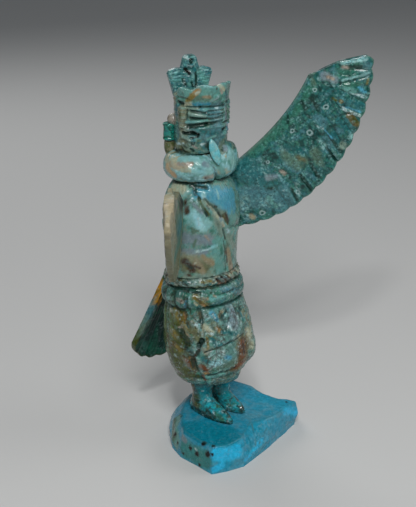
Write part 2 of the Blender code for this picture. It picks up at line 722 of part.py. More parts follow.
def main():
    for old in list(bpy.data.objects):
        bpy.data.objects.remove(old, do_unlink=True)
    carving = new_collection("winged_dancer")
    joined = new_collection("joined_shapes")
    seats = new_collection("seats")
    dancer = make_dancer(joined, seats)
    crest = make_crest("bird_crest")
    shape_with(crest, make_beak(), "UNION", joined)
    slab = make_slab("slab")
    left_wing = make_wing("left_wing", 1, LEFT_WING_SWEEP, LEFT_WING_LIFT)
    right_wing = make_wing("right_wing", -1, RIGHT_WING_SWEEP, RIGHT_WING_LIFT)
    finishes = [
        (slab, stone("sky_turquoise", (0.10, 0.42, 0.52), 0.35)),
        (dancer, stone("green_turquoise", (0.22, 0.42, 0.36), 0.32)),
        (left_wing, stone("dark_turquoise", (0.06, 0.24, 0.21), 0.3)),
        (right_wing, stone("pale_turquoise", (0.3, 0.36, 0.28), 0.35)),
        (make_tail("tail_fan"), stone("olive_turquoise", (0.14, 0.3, 0.18), 0.35)),
        (crest, stone("grey_turquoise", (0.14, 0.34, 0.36), 0.3)),
        (make_chin_feather("chin_feather"), stone("light_turquoise", (0.28, 0.6, 0.6), 0.3)),
        (make_bead("left_ear_bead", 1), stone("blue_bead", (0.2, 0.5, 0.55), 0.25)),
        (make_bead("right_ear_bead", -1), stone("green_bead", (0.03, 0.2, 0.15), 0.2)),
        (make_drop("right_ear_drop", -1), stone("olive_stone", (0.22, 0.22, 0.1), 0.35)),
    ]
    for piece, material in finishes:
        carving.objects.link(piece)
        piece.data.materials.append(material)
        if piece.data.polygons:
            piece.data.shade_smooth()
            piece.data.set_sharp_from_angle(angle=math.radians(35))
        if piece not in (dancer, slab):
            piece.parent = dancer


main()
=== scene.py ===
# Winged dancer carved in turquoise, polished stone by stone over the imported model
import math

import bmesh
import bpy
import numpy as np
from mathutils import Euler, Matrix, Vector, noise
from mathutils.bvhtree import BVHTree


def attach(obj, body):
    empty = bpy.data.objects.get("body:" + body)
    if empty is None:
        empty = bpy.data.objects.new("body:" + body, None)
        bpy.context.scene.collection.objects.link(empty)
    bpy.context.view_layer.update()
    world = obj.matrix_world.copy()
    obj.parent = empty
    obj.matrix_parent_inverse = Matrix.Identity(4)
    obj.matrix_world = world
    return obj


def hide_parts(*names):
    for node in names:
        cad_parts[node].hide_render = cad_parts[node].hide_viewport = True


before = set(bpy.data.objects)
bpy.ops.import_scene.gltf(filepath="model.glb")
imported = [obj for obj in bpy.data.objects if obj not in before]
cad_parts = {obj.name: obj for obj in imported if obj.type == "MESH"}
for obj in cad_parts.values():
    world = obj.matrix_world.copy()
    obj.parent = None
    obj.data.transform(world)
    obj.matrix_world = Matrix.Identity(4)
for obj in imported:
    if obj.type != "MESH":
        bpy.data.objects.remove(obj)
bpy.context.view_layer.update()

mm = 0.001
print("frame loaded:", len(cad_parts), "nodes")

# Sizes in millimetres and degrees, the same as the solids have
figure = {
    "slabHeight": 7.0, "glueGap": 0.3, "stance": (-3.5, 4.5), "lean": (-1.3, 2.3),
    "leg": 9.9, "kilt": 20.9, "sash": 5.1, "cord": 2.8, "torso": 23.8,
    "ruff": 6.6, "chin": 3.4, "mask": 8.8, "tiara": 4.8,
}
# Half-widths from side to side and from front to back
girth = {
    "kilt": (12.3, 10.0), "sash": (11.4, 8.9), "cord": (10.6, 8.1), "torso": (10.1, 7.6),
    "ruff": (9.9, 8.0), "mask": (6.6, 6.3), "tiara": (7.3, 7.1), "tiaraWall": 1.3,
}
# Where things lie round the body: 0 is the dancer's left, -90 its front. The eyes, lock, ears and
# tiara's ends count from the face, and a lobe of the tiara is as wide as its number says
facing = {
    "face": -109, "kiltEdge": -142, "sashEnd": -50, "knot": -172, "cape": -146,
    "parting": -105, "ruffCrest": -55, "eyes": 43, "lock": 66, "ears": 114, "tiara": 76, "lobe": 45,
    "lap": -136, "lapSpan": (-146, -138, -66, -52), "seam": -120, "tuck": -43, "slim": 136, "worn": -138,
}

sole = figure["slabHeight"] + figure["glueGap"]
hem = sole + figure["leg"]
kiltTop = hem + figure["kilt"]
sashTop = kiltTop + figure["sash"]
cordTop = sashTop + figure["cord"]
shoulder = cordTop + figure["torso"]
ruffTop = shoulder + figure["ruff"]
chin = ruffTop + figure["chin"]
brow = chin + figure["mask"]
rim = brow + figure["tiara"]


def smooth(low, high, value):
    share = np.clip((value - low) / (high - low), 0.0, 1.0)
    return share * share * (3 - 2 * share)


def fade(low, high, value):
    return 1 - smooth(low, high, value)


def hump(value, centre, reach):      # 1 at the centre, 0 at the reach
    return fade(0, reach, np.abs(value - centre))


def turn(angle, other):
    return (angle - other + 180) % 360 - 180


def waves(count, angle):
    return np.cos(np.radians(count * angle))


def turns(count):                    # angles once round in radians, as columns
    return np.radians(np.arange(count) * 360 / count)[None, :]


def joined(*parts):                  # points from coordinates that may each span rows, columns or both
    return np.stack(np.broadcast_arrays(*parts), axis=-1)


def axisAt(z):                       # the middle of the body at a height
    back = smooth(hem, sashTop + 0.3 * figure["torso"], z)
    stance, lean = figure["stance"], figure["lean"]
    return stance[0] + lean[0] * back, stance[1] + lean[1] * back


def around(angle, reach, z):
    x, y = axisAt(z)
    bearing = math.radians(angle)
    return Vector((x + reach * math.cos(bearing), y + reach * math.sin(bearing), z))


# The photograph's camera, in mm. Marks on the stones are given in the pixels of its frame
photo = {
    "width": 416, "height": 507, "focalPixels": 1120, "pixelsPerMm": 4.3,
    "camera": (-179.6, -189.9, 147.7), "aim": (-4.1, 5.0, 49.6), "search": 10,
    "neighbours": ((1, 0), (-1, 0), (0, 1), (0, -1), (1, 1), (-1, -1), (1, -1), (-1, 1)),
}
eye = Vector(photo["camera"])
ahead = (Vector(photo["aim"]) - eye).normalized()
rightwards = ahead.cross(Vector((0, 0, 1))).normalized()
upwards = rightwards.cross(ahead)


def solidTree(node):
    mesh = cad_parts[node].data
    return BVHTree.FromPolygons([v.co / mm for v in mesh.vertices], [p.vertices[:] for p in mesh.polygons])


def seenOn(solid, x, y):
    # Where the camera sees a pixel on a solid, or the nearest pixel round it if that one just misses
    for reach in range(photo["search"] + 1):
        for across, down in photo["neighbours"]:
            along = x + reach * across - photo["width"] / 2
            below = y + reach * down - photo["height"] / 2
            ray = ahead * photo["focalPixels"] + rightwards * along - upwards * below
            place = solid.ray_cast(eye, ray)[0]
            if place:
                return np.array(place)


def fromPhoto(node, marks, onPiece=lambda place: place):
    # Each mark: a colour or a depth, from pixel x, y to pixel x, y, half-width in pixels, softness
    solid = solidTree(node)
    for what, x, y, u, v, half, *soft in marks:
        start, end = onPiece(seenOn(solid, x, y)), onPiece(seenOn(solid, u, v))
        yield (what, *start, *end, half / photo["pixelsPerMm"], *soft)


def spotsOn(solid, marks):           # round spots: pixel x, y and radius, as places and radii in mm
    return [(Vector(seenOn(solid, x, y)), radius / photo["pixelsPerMm"]) for x, y, radius in marks]


def grain(points, size, octaves=3):  # stone noise at points in mm, about -1 to 1
    flat = (points.reshape(-1, 3) / size).tolist()
    values = [noise.fractal(p, 0.8, 2.1, octaves) for p in flat]
    return np.array(values).reshape(points.shape[:-1])


def hollows(height, cells, wrap=True):   # above 0 in grooves, below 0 on crowns, in mm
    total = height
    for axis, count in enumerate(cells):
        mode = "wrap" if wrap and axis == 1 else "edge"
        width = [(count, count) if k == axis else (0, 0) for k in range(2)]
        padded = np.pad(total, width, mode=mode)
        length = total.shape[axis]
        total = sum(np.take(padded, range(k, k + length), axis=axis) for k in range(2 * count + 1))
        total = total / (2 * count + 1)
    return total - height


def coat(mesh, paint, grit=1.0):     # stone colours at the points and how gritty the stone is there
    layer = mesh.attributes.new("paint", "FLOAT_COLOR", "POINT")
    flat = paint.reshape(-1, 3)
    whole = np.concatenate([flat, np.ones((len(flat), 1)) * np.reshape(grit, (-1, 1))], axis=1)
    layer.data.foreach_set("color", whole.reshape(-1).astype(np.float32))


def skin(name, grid, values, paint=None, sharp=60):
    # A closed skin over rings of points in mm, flat at each end, with named values at each point
    rows, cols = grid.shape[:2]
    index = np.arange(rows * cols).reshape(rows, cols)
    after = np.roll(index, -1, axis=1)
    quads = joined(index[:-1], after[:-1], after[1:], index[1:]).reshape(-1, 4)
    ends = [index[0][::-1].tolist(), index[-1].tolist()]
    mesh = bpy.data.meshes.new(name)
    mesh.from_pydata((grid.reshape(-1, 3) * mm).tolist(), [], quads.tolist() + ends)
    a, b, c = (grid.reshape(-1, 3)[quads[:, k]] for k in range(3))
    if np.einsum("ij,ij->", np.cross(a, b), c) < 0:
        mesh.flip_normals()
    for key, value in values.items():
        layer = mesh.attributes.new(key, "FLOAT", "POINT")
        layer.data.foreach_set("value", value.reshape(-1).astype(np.float32))
    if paint is not None:
        coat(mesh, paint)
    mesh.shade_smooth()
    mesh.set_sharp_from_angle(angle=math.radians(sharp))
    piece = bpy.data.objects.new(name, mesh)
    bpy.context.scene.collection.objects.link(piece)
    return piece


def turned(rotation):
    return np.array(Euler([math.radians(a) for a in rotation]).to_matrix())


def placed(grid, place, rotation):   # local points in mm, turned and moved into the figure
    return grid @ turned(rotation).T + np.array(place)


def inFrame(pose, axes):             # back from the figure to a piece's own frame, along two of its axes
    place, rotation = pose
    return lambda point: ((point - np.array(place)) @ turned(rotation))[axes]


# Colours as a screen shows them, 0 to 255
palette = {
    "sky": (68, 141, 162), "cyan": (34, 170, 210), "deepTeal": (0, 122, 144), "slabBlue": (24, 138, 166),
    "slabTeal": (48, 124, 122), "teal": (34, 98, 100), "wingTeal": (22, 86, 84), "wingDark": (8, 58, 54),
    "tealGreen": (48, 106, 90), "tailGreen": (24, 94, 72), "greenDeep": (12, 50, 43), "moss": (46, 66, 34),
    "mint": (86, 142, 134), "paleMint": (120, 170, 168), "ice": (142, 194, 200), "sage": (110, 134, 120),
    "cream": (156, 162, 138), "white": (164, 192, 192), "lace": (112, 154, 152), "greyBlue": (62, 112, 117),
    "greyGreen": (74, 106, 90), "violetGrey": (108, 128, 134), "pinkish": (142, 136, 124),
    "sand": (162, 152, 126), "peach": (172, 148, 114), "stone": (118, 124, 100), "beige": (128, 122, 96),
    "olive": (68, 78, 28), "oliveBeige": (92, 98, 68), "khaki": (90, 82, 46), "ochre": (110, 98, 44),
    "orange": (144, 114, 70), "amber": (186, 134, 24), "rust": (100, 56, 18), "brown": (54, 38, 19),
    "black": (12, 14, 10), "beadGreen": (30, 130, 114), "beadBlue": (72, 140, 156), "haze": (80, 124, 116),
    "leafBlue": (96, 174, 182), "legTeal": (26, 142, 152), "fern": (84, 104, 60),
}


def linear(name):                    # a screen colour as the shader wants it
    return tuple(((v / 255 + 0.055) / 1.055) ** 2.4 for v in palette[name]) + (1.0,)


def clouded(points, grounds, size, seed=0.0):
    # A ground of several stone colours that run into each other in clouds
    share = 0.5 + 0.8 * grain(points + seed, size, 5)
    colours = np.array([linear(name)[:3] for name in grounds])
    stops = np.linspace(0.12, 0.88, len(grounds))
    return joined(*(np.interp(share, stops, colours[:, k]) for k in range(3)))


def strokeShare(places, start, end, half, soft, wobble):
    # 1 inside a round-ended stroke, 0 outside it; the wobble frays its edge
    run = np.array(end) - np.array(start)
    along = np.clip((places - np.array(start)) @ run / max(run @ run, 1e-9), 0, 1)
    away = np.linalg.norm(places - np.array(start) - along[..., None] * run, axis=-1)
    return fade(1 - soft, 1 + soft, away / half + wobble)


def strokesOn(places, marks, wobble):
    # Each mark: colour, start, end, half-width in mm, softness
    size = places.shape[-1]
    for name, *numbers in marks:
        half, soft = numbers[2 * size:]
        yield name, strokeShare(places, numbers[:size], numbers[size:2 * size], half, soft, wobble)


def painted(colour, strokes, points):
    # Lays strokes of named colours over a ground; the palest lie in loose specks
    specks = grain(points + 61, 0.75, 3)
    loose = {"white": 0.15 + 0.85 * smooth(-0.14, 0.14, specks), "lace": smooth(0.0, 0.22, specks)}
    for name, share in strokes:
        share = share * loose.get(name, 1.0)
        colour = colour + (np.array(linear(name)[:3]) - colour) * share[..., None]
    return colour


def frayed(points):                  # uneven edges for the strokes
    return 0.42 * grain(points + 17, 1.9, 4) + 0.25 * grain(points + 31, 0.6, 2)


def tinted(colour, points, amount=0.22, grit=1.0):
    # Medium mottling: lighter and darker, a little warmer and cooler
    light = 1 + amount * grit * (grain(points + 53, 1.2, 4) + 0.5 * grain(points + 71, 0.45, 2))
    warm = 0.35 * amount * grain(points + 89, 2.3, 3)
    tint = joined(light + warm, light, light - warm)
    return np.clip(colour * tint, 0.002, 0.9)


def nodeMaker(tree):
    def make(kind, inputs, **settings):
        node = tree.nodes.new(kind)
        for key, value in settings.items():
            setattr(node, key, value)
        for key, value in inputs.items():
            if isinstance(value, bpy.types.NodeSocket):
                tree.links.new(value, node.inputs[key])
            else:
                node.inputs[key].default_value = value
        return node
    return make


# What the stones share, unless a piece's own look says otherwise; sizes in mm, shares from 0 to 1
stoneLook = {
    "cloud": 2.0, "tint": 0.22, "fray": 1.0, "mottle": 0.25, "rim": None, "pits": (), "rings": (),
    "ringShare": 0.6, "crumb": 0.4, "crumbSize": 0.75, "crumbColour": "white", "specks": 0.6,
    "speckSize": 0.95, "specksColour": "brown", "veins": 0.0, "veinSize": 5 / 3, "veinsColour": "brown",
    # The next keys set the painted shade in the hollows and the painted highlight on the crowns
    "dirt": 0.8, "dirtDepth": 0.2, "dirtColour": "greenDeep", "crown": 0.22, "crownHighlightColour": "paleMint",
    "polish": (0.16, 0.36), "bump": 0.2, "shine": 0.36, "coat": 0.25, "coatRoughness": 0.06,
    "refraction": 1.45,
}


def stoneMaterial(name, look):
    # A polished turquoise: painted colours, then crumbs, specks, veins, rings, pits, painted shade in the
    # hollows and a painted highlight on the crowns
    material = bpy.data.materials.new(name)
    material.use_nodes = True
    tree = material.node_tree
    make = nodeMaker(tree)

    def maths(operation, first, second=0.0):
        return make("ShaderNodeMath", {0: first, 1: second}, operation=operation).outputs[0]

    def vector(operation, first, second=(0, 0, 0), output=0):
        return make("ShaderNodeVectorMath", {0: first, 1: second}, operation=operation).outputs[output]

    def ranged(value, low, high, start=0.0, end=1.0):
        inputs = {"Value": value, "From Min": low, "From Max": high, "To Min": start, "To Max": end}
        return make("ShaderNodeMapRange", inputs, interpolation_type="SMOOTHSTEP").outputs["Result"]

    def mixed(factor, first, colourName):
        inputs = {0: factor, 6: first, 7: linear(colourName)}
        return make("ShaderNodeMix", inputs, data_type="RGBA").outputs[2]

    def product(first, *others):
        for other in others:
            first = maths("MULTIPLY", first, other)
        return first

    def cloud(where, size, detail=4.0, rough=0.6, output="Fac"):
        inputs = {"Vector": where, "Scale": 1 / size, "Detail": detail, "Roughness": rough}
        return make("ShaderNodeTexNoise", inputs).outputs[output]

    def cells(where, size, feature="F1"):
        inputs = {"Vector": where, "Scale": 1 / size}
        return make("ShaderNodeTexVoronoi", inputs, feature=feature).outputs["Distance"]

    def stirred(where, size, amount):
        offset = vector("SUBTRACT", cloud(where, size, output="Color"), (0.5, 0.5, 0.5))
        return vector("ADD", where, vector("MULTIPLY", offset, (3 * amount,) * 3))

    def distance(where, centre, radius):
        scaled = vector("DIVIDE", vector("SUBTRACT", where, tuple(centre)), (radius,) * 3)
        return vector("LENGTH", scaled, output="Value")

    def attribute(key, output="Fac"):
        return make("ShaderNodeAttribute", {}, attribute_name=key).outputs[output]

    objectPlace = make("ShaderNodeTexCoord", {}).outputs["Object"]
    where = vector("MULTIPLY", objectPlace, (1 / mm,) * 3)
    fine = stirred(where, 1.1, 0.35)
    colour, grit = attribute("paint", "Color"), attribute("paint", "Alpha")

    crumbs = ranged(cells(fine, look["crumbSize"]), 0.6, 0.12)
    specks = ranged(cells(fine, look["speckSize"]), 0.3, 0.14)
    veins = ranged(cells(stirred(where, 1.6, 0.5), look["veinSize"], "DISTANCE_TO_EDGE"), 0.13, 0.05)
    scattered = (                    # in patches: their shift, size, detail and range
        ("crumb", crumbs, (0, 0, 0), 2.4, 5.0, 0.44, 0.62),
        ("specks", specks, (9, 4, 2), 3.2, 4.0, 0.46, 0.6),
        ("veins", veins, (2, 7, 5), 3.6, 4.0, 0.43, 0.6),
    )
    for kind, marks, shift, size, detail, low, high in scattered:
        patchy = ranged(cloud(vector("ADD", where, shift), size, detail), low, high)
        colour = mixed(product(marks, patchy, grit, look[kind]), colour, look[kind + "Colour"])
    mottle = look["mottle"]
    cloudy = product(ranged(cloud(fine, 0.8, 6.0, 0.7), 0.34, 0.66, -mottle, mottle), grit)
    cloudy = maths("ADD", cloudy, 1.0)
    colour = make("ShaderNodeVectorMath", {0: colour, "Scale": cloudy}, operation="SCALE").outputs[0]

    for centre, radius in look["rings"]:
        away = distance(fine, centre, radius)
        ring = product(ranged(away, 1.2, 0.85), ranged(away, 0.4, 0.68), look["ringShare"])
        colour = mixed(ring, colour, "white")
        colour = mixed(product(ranged(away, 0.42, 0.22), 0.8), colour, "greenDeep")
    for centre, radius in look["pits"]:
        away = distance(stirred(where, 0.7, 0.45), centre, 1.5 * radius)
        colour = mixed(product(ranged(away, 1.5, 0.9), 0.5), colour, "brown")
        colour = mixed(ranged(away, 0.9, 0.65), colour, "black")

    # Painted shade: the deeper a groove or hollow, the darker and rougher it is painted
    hollow = attribute("hollow")
    dirt = product(ranged(hollow, 0.015, look["dirtDepth"]), look["dirt"])
    colour = mixed(dirt, colour, look["dirtColour"])
    # Painted highlight: raised crowns are painted paler
    colour = mixed(product(ranged(hollow, -0.02, -0.18), look["crown"]), colour, look["crownHighlightColour"])
    if look["rim"]:
        colour = mixed(product(attribute("rim"), 0.85), colour, look["rim"])
    rough = maths("ADD", ranged(cloud(fine, 1.6, 5.0), 0.4, 0.68, *look["polish"]), product(dirt, 0.3))
    relief = maths("ADD", cloud(where, 0.35), product(cloudy, 0.8))
    bump = make("ShaderNodeBump", {"Strength": look["bump"], "Distance": 0.15 * mm, "Height": relief})
    shader = tree.nodes["Principled BSDF"].inputs
    links = {"Base Color": colour, "Roughness": rough, "Normal": bump.outputs["Normal"]}
    for socket, output in links.items():
        tree.links.new(output, shader[socket])
    shader["IOR"].default_value = look["refraction"]
    shader["Specular IOR Level"].default_value = look["shine"]
    shader["Coat Weight"].default_value = look["coat"]
    shader["Coat Roughness"].default_value = look["coatRoughness"]
    return material


def stoneSkin(name, points, hollow, look, marks=(), axes=(0, 1, 2), pose=None, sharp=60, rim=None, over=()):
    # A stone that is painted and mottled in its own frame, then put in its place
    look = {**stoneLook, **look}
    strokes = [*strokesOn(points[..., list(axes)], marks, look["fray"] * frayed(points)), *over]
    colour = painted(clouded(points, look["grounds"], look["cloud"]), strokes, points)
    values = {"hollow": hollow} if rim is None else {"hollow": hollow, "rim": rim}
    grid = placed(points, *pose) if pose else points
    return skin(name, grid, values, tinted(colour, points, look["tint"]), sharp)


def finished(piece, node, slot, look):
    piece.data.materials.clear()
    piece.data.materials.append(stoneMaterial(piece.name, {**stoneLook, **look}))
    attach(piece, "root")
    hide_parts(node)
    print("made", piece.name, len(piece.data.polygons), "faces")


# The dancer's body: reliefs in mm, and how many folds, strands and rows
body = {
    "segments": 272, "bodyRadius": 10.0, "headRadius": 6.6,
    "rows": {
        "kilt": 87, "sash": 24, "cord": 14, "torso": 76, "ruff": 35, "chin": 13, "mask": 50, "tiara": 21,
    },
    "kiltLap": 0.75, "kiltHollow": 1.3, "kiltSwing": 0.35, "kiltFold": 0.3, "kiltFolds": 12, "sashEnd": 0.9,
    "gather": 0.12, "gathers": 34, "lap": 0.24, "lapHeight": 9.9, "lapSlope": 0.075, "seam": 0.13,
    "seamHeight": 2.7, "seamSlope": 0.012, "tuck": 1.4, "knot": 0.35, "sashFold": 0.3,
    "sashFoldHeight": 3.6, "twist": 0.09, "twists": 26, "cordLumps": 8, "capeRelief": 0.55,
    "capeTop": 0.93, "capeDrop": 0.42, "capeGroove": 0.16,
    "feather": 0.1, "featherRows": 9, "featherWidth": 6.2, "slimSide": 0.5, "partingDepth": 1.0,
    "partingSlant": 3.5, "ruffRise": 2.3, "strand": 0.07, "strands": 16, "ridges": 7, "ridgeDepth": 0.4,
    "eyeDepth": 1.0, "eyeHeight": 0.9, "eyeLevel": 0.24, "eyeCore": 0.4, "eyeLip": 0.2, "farCheek": 0.3,
    "panel": 0.16, "wisp": 0.05, "lock": 0.55, "lobeRise": 0.55, "flute": 0.12, "rimWear": 0.8,
    "lump": 0.09, "pitting": 0.08, "weathering": 0.1, "heave": 0.3,
}


def kiltCarving(angle, z):
    height = (z - hem) / figure["kilt"]
    endSide = turn(angle, facing["sashEnd"])
    past = turn(angle, facing["kiltEdge"] + 7 * np.sin(2 * math.pi * (height + 0.35)))
    lap = body["kiltLap"] * smooth(-3, 3, past) * fade(50, 100, past)
    hollow = body["kiltHollow"] * hump(past, -5, 9) * hump(height, 0.36, 0.17)
    end = body["sashEnd"] * hump(endSide, 0, 17) * smooth(0.02, 0.12, height)
    folds = body["kiltFold"] * waves(body["kiltFolds"], angle) * smooth(0.45, 1.0, height)
    band = body["kiltFold"] * fade(0.08, 0.12, height)
    swing = body["kiltSwing"] * hump(endSide, 0, 55) * hump(height, 0.3, 0.24)
    # Finer: gathers under the sash, the crossing fold, the stitched line above the hem
    gathers = body["gather"] * waves(body["gathers"], angle + 30 * height) * smooth(0.6, 0.95, height)
    fold = z - (hem + body["lapHeight"] + body["lapSlope"] * turn(angle, facing["lap"]))
    crossing = body["lap"] * (smooth(-0.25, 0.05, fold) - smooth(0.05, 4.5, fold))
    first, full, waning, last = facing["lapSpan"]
    onFront = smooth(first, full, turn(angle, 0)) * fade(waning, last, turn(angle, 0))
    crossing = (crossing - 0.1 * hump(fold, -0.15, 0.3)) * onFront
    seamLevel = hem + body["seamHeight"] + body["seamSlope"] * turn(angle, facing["seam"])
    seam = body["seam"] * hump(z, seamLevel, 0.3)
    tuck = body["tuck"] * hump(turn(angle, facing["tuck"]), 0, 50) * fade(0.08, 0.3, height)
    return lap - hollow + end + folds + band + swing + gathers + crossing - seam - tuck


def sashCarving(angle, z):
    gather = hump(turn(angle, facing["knot"]), 0, 48)
    level = kiltTop + body["sashFoldHeight"] - 0.012 * turn(angle, -90)
    fold = body["sashFold"] * hump(z, level, 0.8) * (1 - 0.8 * gather)
    return body["knot"] * gather * (1 + waves(22, angle)) - fold


def cordCarving(angle, z):
    twist = body["twist"] * waves(body["twists"], angle + 22 * (z - sashTop) / figure["cord"])
    return 0.5 * body["knot"] * waves(body["cordLumps"], angle) + twist


def capeEdge(angle):
    past = turn(angle, facing["cape"]) % 360
    level = body["capeTop"] - body["capeDrop"] * smooth(0, 95, past)
    return level + 0.12 * smooth(150, 260, past) + 0.3 * smooth(325, 360, past)


def torsoCarving(angle, z):
    height = (z - cordTop) / figure["torso"]
    above = height - capeEdge(angle)
    above = above + 0.03 * grain(joined(angle / 6, z, 0 * z), 1.6)
    cape = smooth(-0.05, 0.05, above) + 0.7 * hump(above, -0.09, 0.09)
    breast = hump(turn(angle, facing["cape"] + 12), 0, 34) * hump(height, 0.6, 0.24)
    belly = 0.6 * hump(turn(angle, facing["face"]), 0, 80) * hump(height, 0.2, 0.2)
    # Feather strokes cut into the cape, and a worn groove along its edge
    rise = height * body["featherRows"]
    across = turn(angle, facing["cape"]) / body["featherWidth"]
    stroke = waves(1, 360 * (across + 0.62 * rise + 0.37 * np.floor(rise)))
    strokes = body["feather"] * smooth(0.25, 0.9, stroke) * smooth(0.02, 0.06, above)
    groove = body["capeGroove"] * hump(above, -0.05, 0.03) * fade(0.9, 1.0, height)
    slim = body["slimSide"] * hump(turn(angle, facing["slim"]), 0, 40) * hump(height, 0.72, 0.4)
    return body["capeRelief"] * (cape + breast + belly) - strokes - groove - slim


def ruffCarving(angle, z):
    above = z - shoulder - figure["ruff"] / 2
    parting = turn(angle, facing["parting"]) + body["partingSlant"] * above
    strands = waves(body["strands"], angle + 6 * above)
    finer = waves(3 * body["strands"], angle + 9 * above)
    return -body["partingDepth"] * hump(parting, 0, 11) - body["strand"] * (strands + 0.7 * finer)


def chinCarving(angle, z):
    fromFace = np.abs(turn(angle, facing["face"]))
    return -0.5 * body["ridgeDepth"] * hump(fromFace, 45, 30) - 0.35 * hump(z, ruffTop + 0.5, 0.5)


def maskCarving(angle, z):
    fromFace = np.abs(turn(angle, facing["face"]))
    height = (z - chin) / figure["mask"]
    front = fade(46, 56, fromFace)
    bands = body["ridgeDepth"] * (waves(360 * body["ridges"], height + 0.0012 * fromFace) - 1) / 2
    bands = bands * (0.4 - 0.15 * front) * (1 - 0.5 * smooth(62, 80, fromFace))
    lock = body["lock"] * hump(fromFace, facing["lock"], 17) * smooth(0.3, 0.38, height)
    up = z - chin - body["eyeLevel"] * figure["mask"]
    slot = body["eyeDepth"] * hump(fromFace, facing["eyes"], 16) * hump(up, 0, body["eyeHeight"])
    # Finer: the slot's sharp core and lips; the far cheek repeats what is carved on the near one
    core = body["eyeCore"] * hump(fromFace, facing["eyes"], 17) * hump(up, 0, 0.42)
    lips = hump(up, 1.05, 0.5) + hump(up, -1.05, 0.5)
    lips = body["eyeLip"] * hump(fromFace, facing["eyes"], 21) * lips
    lens = hump(fromFace, 33, 22) * hump(z, brow - 2.2, 0.75)
    cuts = hump(fromFace, 31, 22) * (hump(z, brow - 3.15, 0.3) + 0.8 * hump(z, brow - 1.2, 0.3))
    recess = hump(z, brow - 5.0, 0.5) * fade(48, 70, fromFace)
    far = body["farCheek"] * smooth(-10, 25, turn(angle, facing["face"])) * (lens - cuts - recess)
    panel = body["panel"] * (hump(fromFace, 54, 3) + hump(fromFace, 72, 3)) * hump(height, 0.75, 0.2)
    wisps = body["wisp"] * waves(1, 360 * (z * 1.9 + 0.02 * fromFace)) * (1 - front)
    return bands + lock - slot - core + lips + far - panel + wisps


def tiaraShare(angle):               # 1 in front, 0 behind the ears
    fromFace = np.abs(turn(angle, facing["face"] - 4))
    return fade(facing["tiara"] - 10, facing["tiara"] + 12, fromFace)


def lobes(angle):
    return waves(360 / facing["lobe"], turn(angle, facing["face"] - 15))


def tiaraCarving(angle, z):
    low, middle, high = (brow + share * figure["tiara"] for share in (0.2, 0.24, 0.3))
    flare = 0.45 * body["lobeRise"] * lobes(angle) * smooth(high, rim, z)
    behind = (0.55 * body["lobeRise"] + 0.5 * smooth(middle, rim, z)) * (1 - tiaraShare(angle))
    flute = body["flute"] * (1 - np.abs(lobes(angle)) ** 0.5) * smooth(brow, rim, z)
    return (flare - behind - flute) * smooth(brow, low, z)


def sections():
    # (heights, side half-widths, depth half-widths, carving) for each zone, from the hem up
    def zone(name, bottom, share, swell, carving):
        return bottom + share * figure[name], *(swell * g for g in girth.get(name, girth["mask"])), carving

    def shares(name, low=0.0, high=1.0):
        return np.linspace(low, high, body["rows"][name])

    share, full = shares("kilt"), 0.45
    low = 0.71 + 0.29 * np.sin(math.pi / 2 * np.minimum(share, full) / full) ** 0.75
    high = 0.82 + 0.18 * np.cos(math.pi / 2 * (np.maximum(share, full) - full) / (1 - full))
    yield zone("kilt", hem, share, np.where(share < full, low, high), kiltCarving)
    for name, bottom, carving in (("sash", kiltTop, sashCarving), ("cord", sashTop, cordCarving)):
        share = shares(name, 0.05, 0.95)
        yield zone(name, bottom, share, 0.86 + 0.14 * np.sin(math.pi * share) ** 0.6, carving)
    share = shares("torso")
    swell = 1 - 0.34 * np.maximum(0, (share - 0.6) / 0.4) ** 3 - 0.02 * np.cos(2 * math.pi * share)
    yield zone("torso", cordTop, share, swell, torsoCarving)
    bend = np.radians(shares("ruff", -80, 98))
    radius = figure["ruff"] / 2
    out = 0.9 * radius * (1 - np.cos(bend))
    yield shoulder + radius * (1 + np.sin(bend)), *(g - out for g in girth["ruff"]), ruffCarving
    share = shares("chin", 0.12, 0.94)
    yield zone("chin", ruffTop, share, 1 + 0 * share, chinCarving)
    share = shares("mask")
    yield zone("mask", chin, share, 1 + 0 * share, maskCarving)
    share = shares("tiara", 0.08, 0.97)
    yield zone("tiara", brow, share, 0.92 + 0.08 * share, tiaraCarving)
    # The tiara's rounded rim, then its inner wall down to the crown
    inwards = np.array([0.12, 0.5, 0.9, 1.0, 1.0, 1.0, 1.05]) * girth["tiaraWall"]
    drop = np.array([0.0, -0.02, 0.0, 0.12, 0.5, 1.0, 3.0])
    yield rim - drop, *(g - inwards for g in girth["tiara"]), tiaraCarving


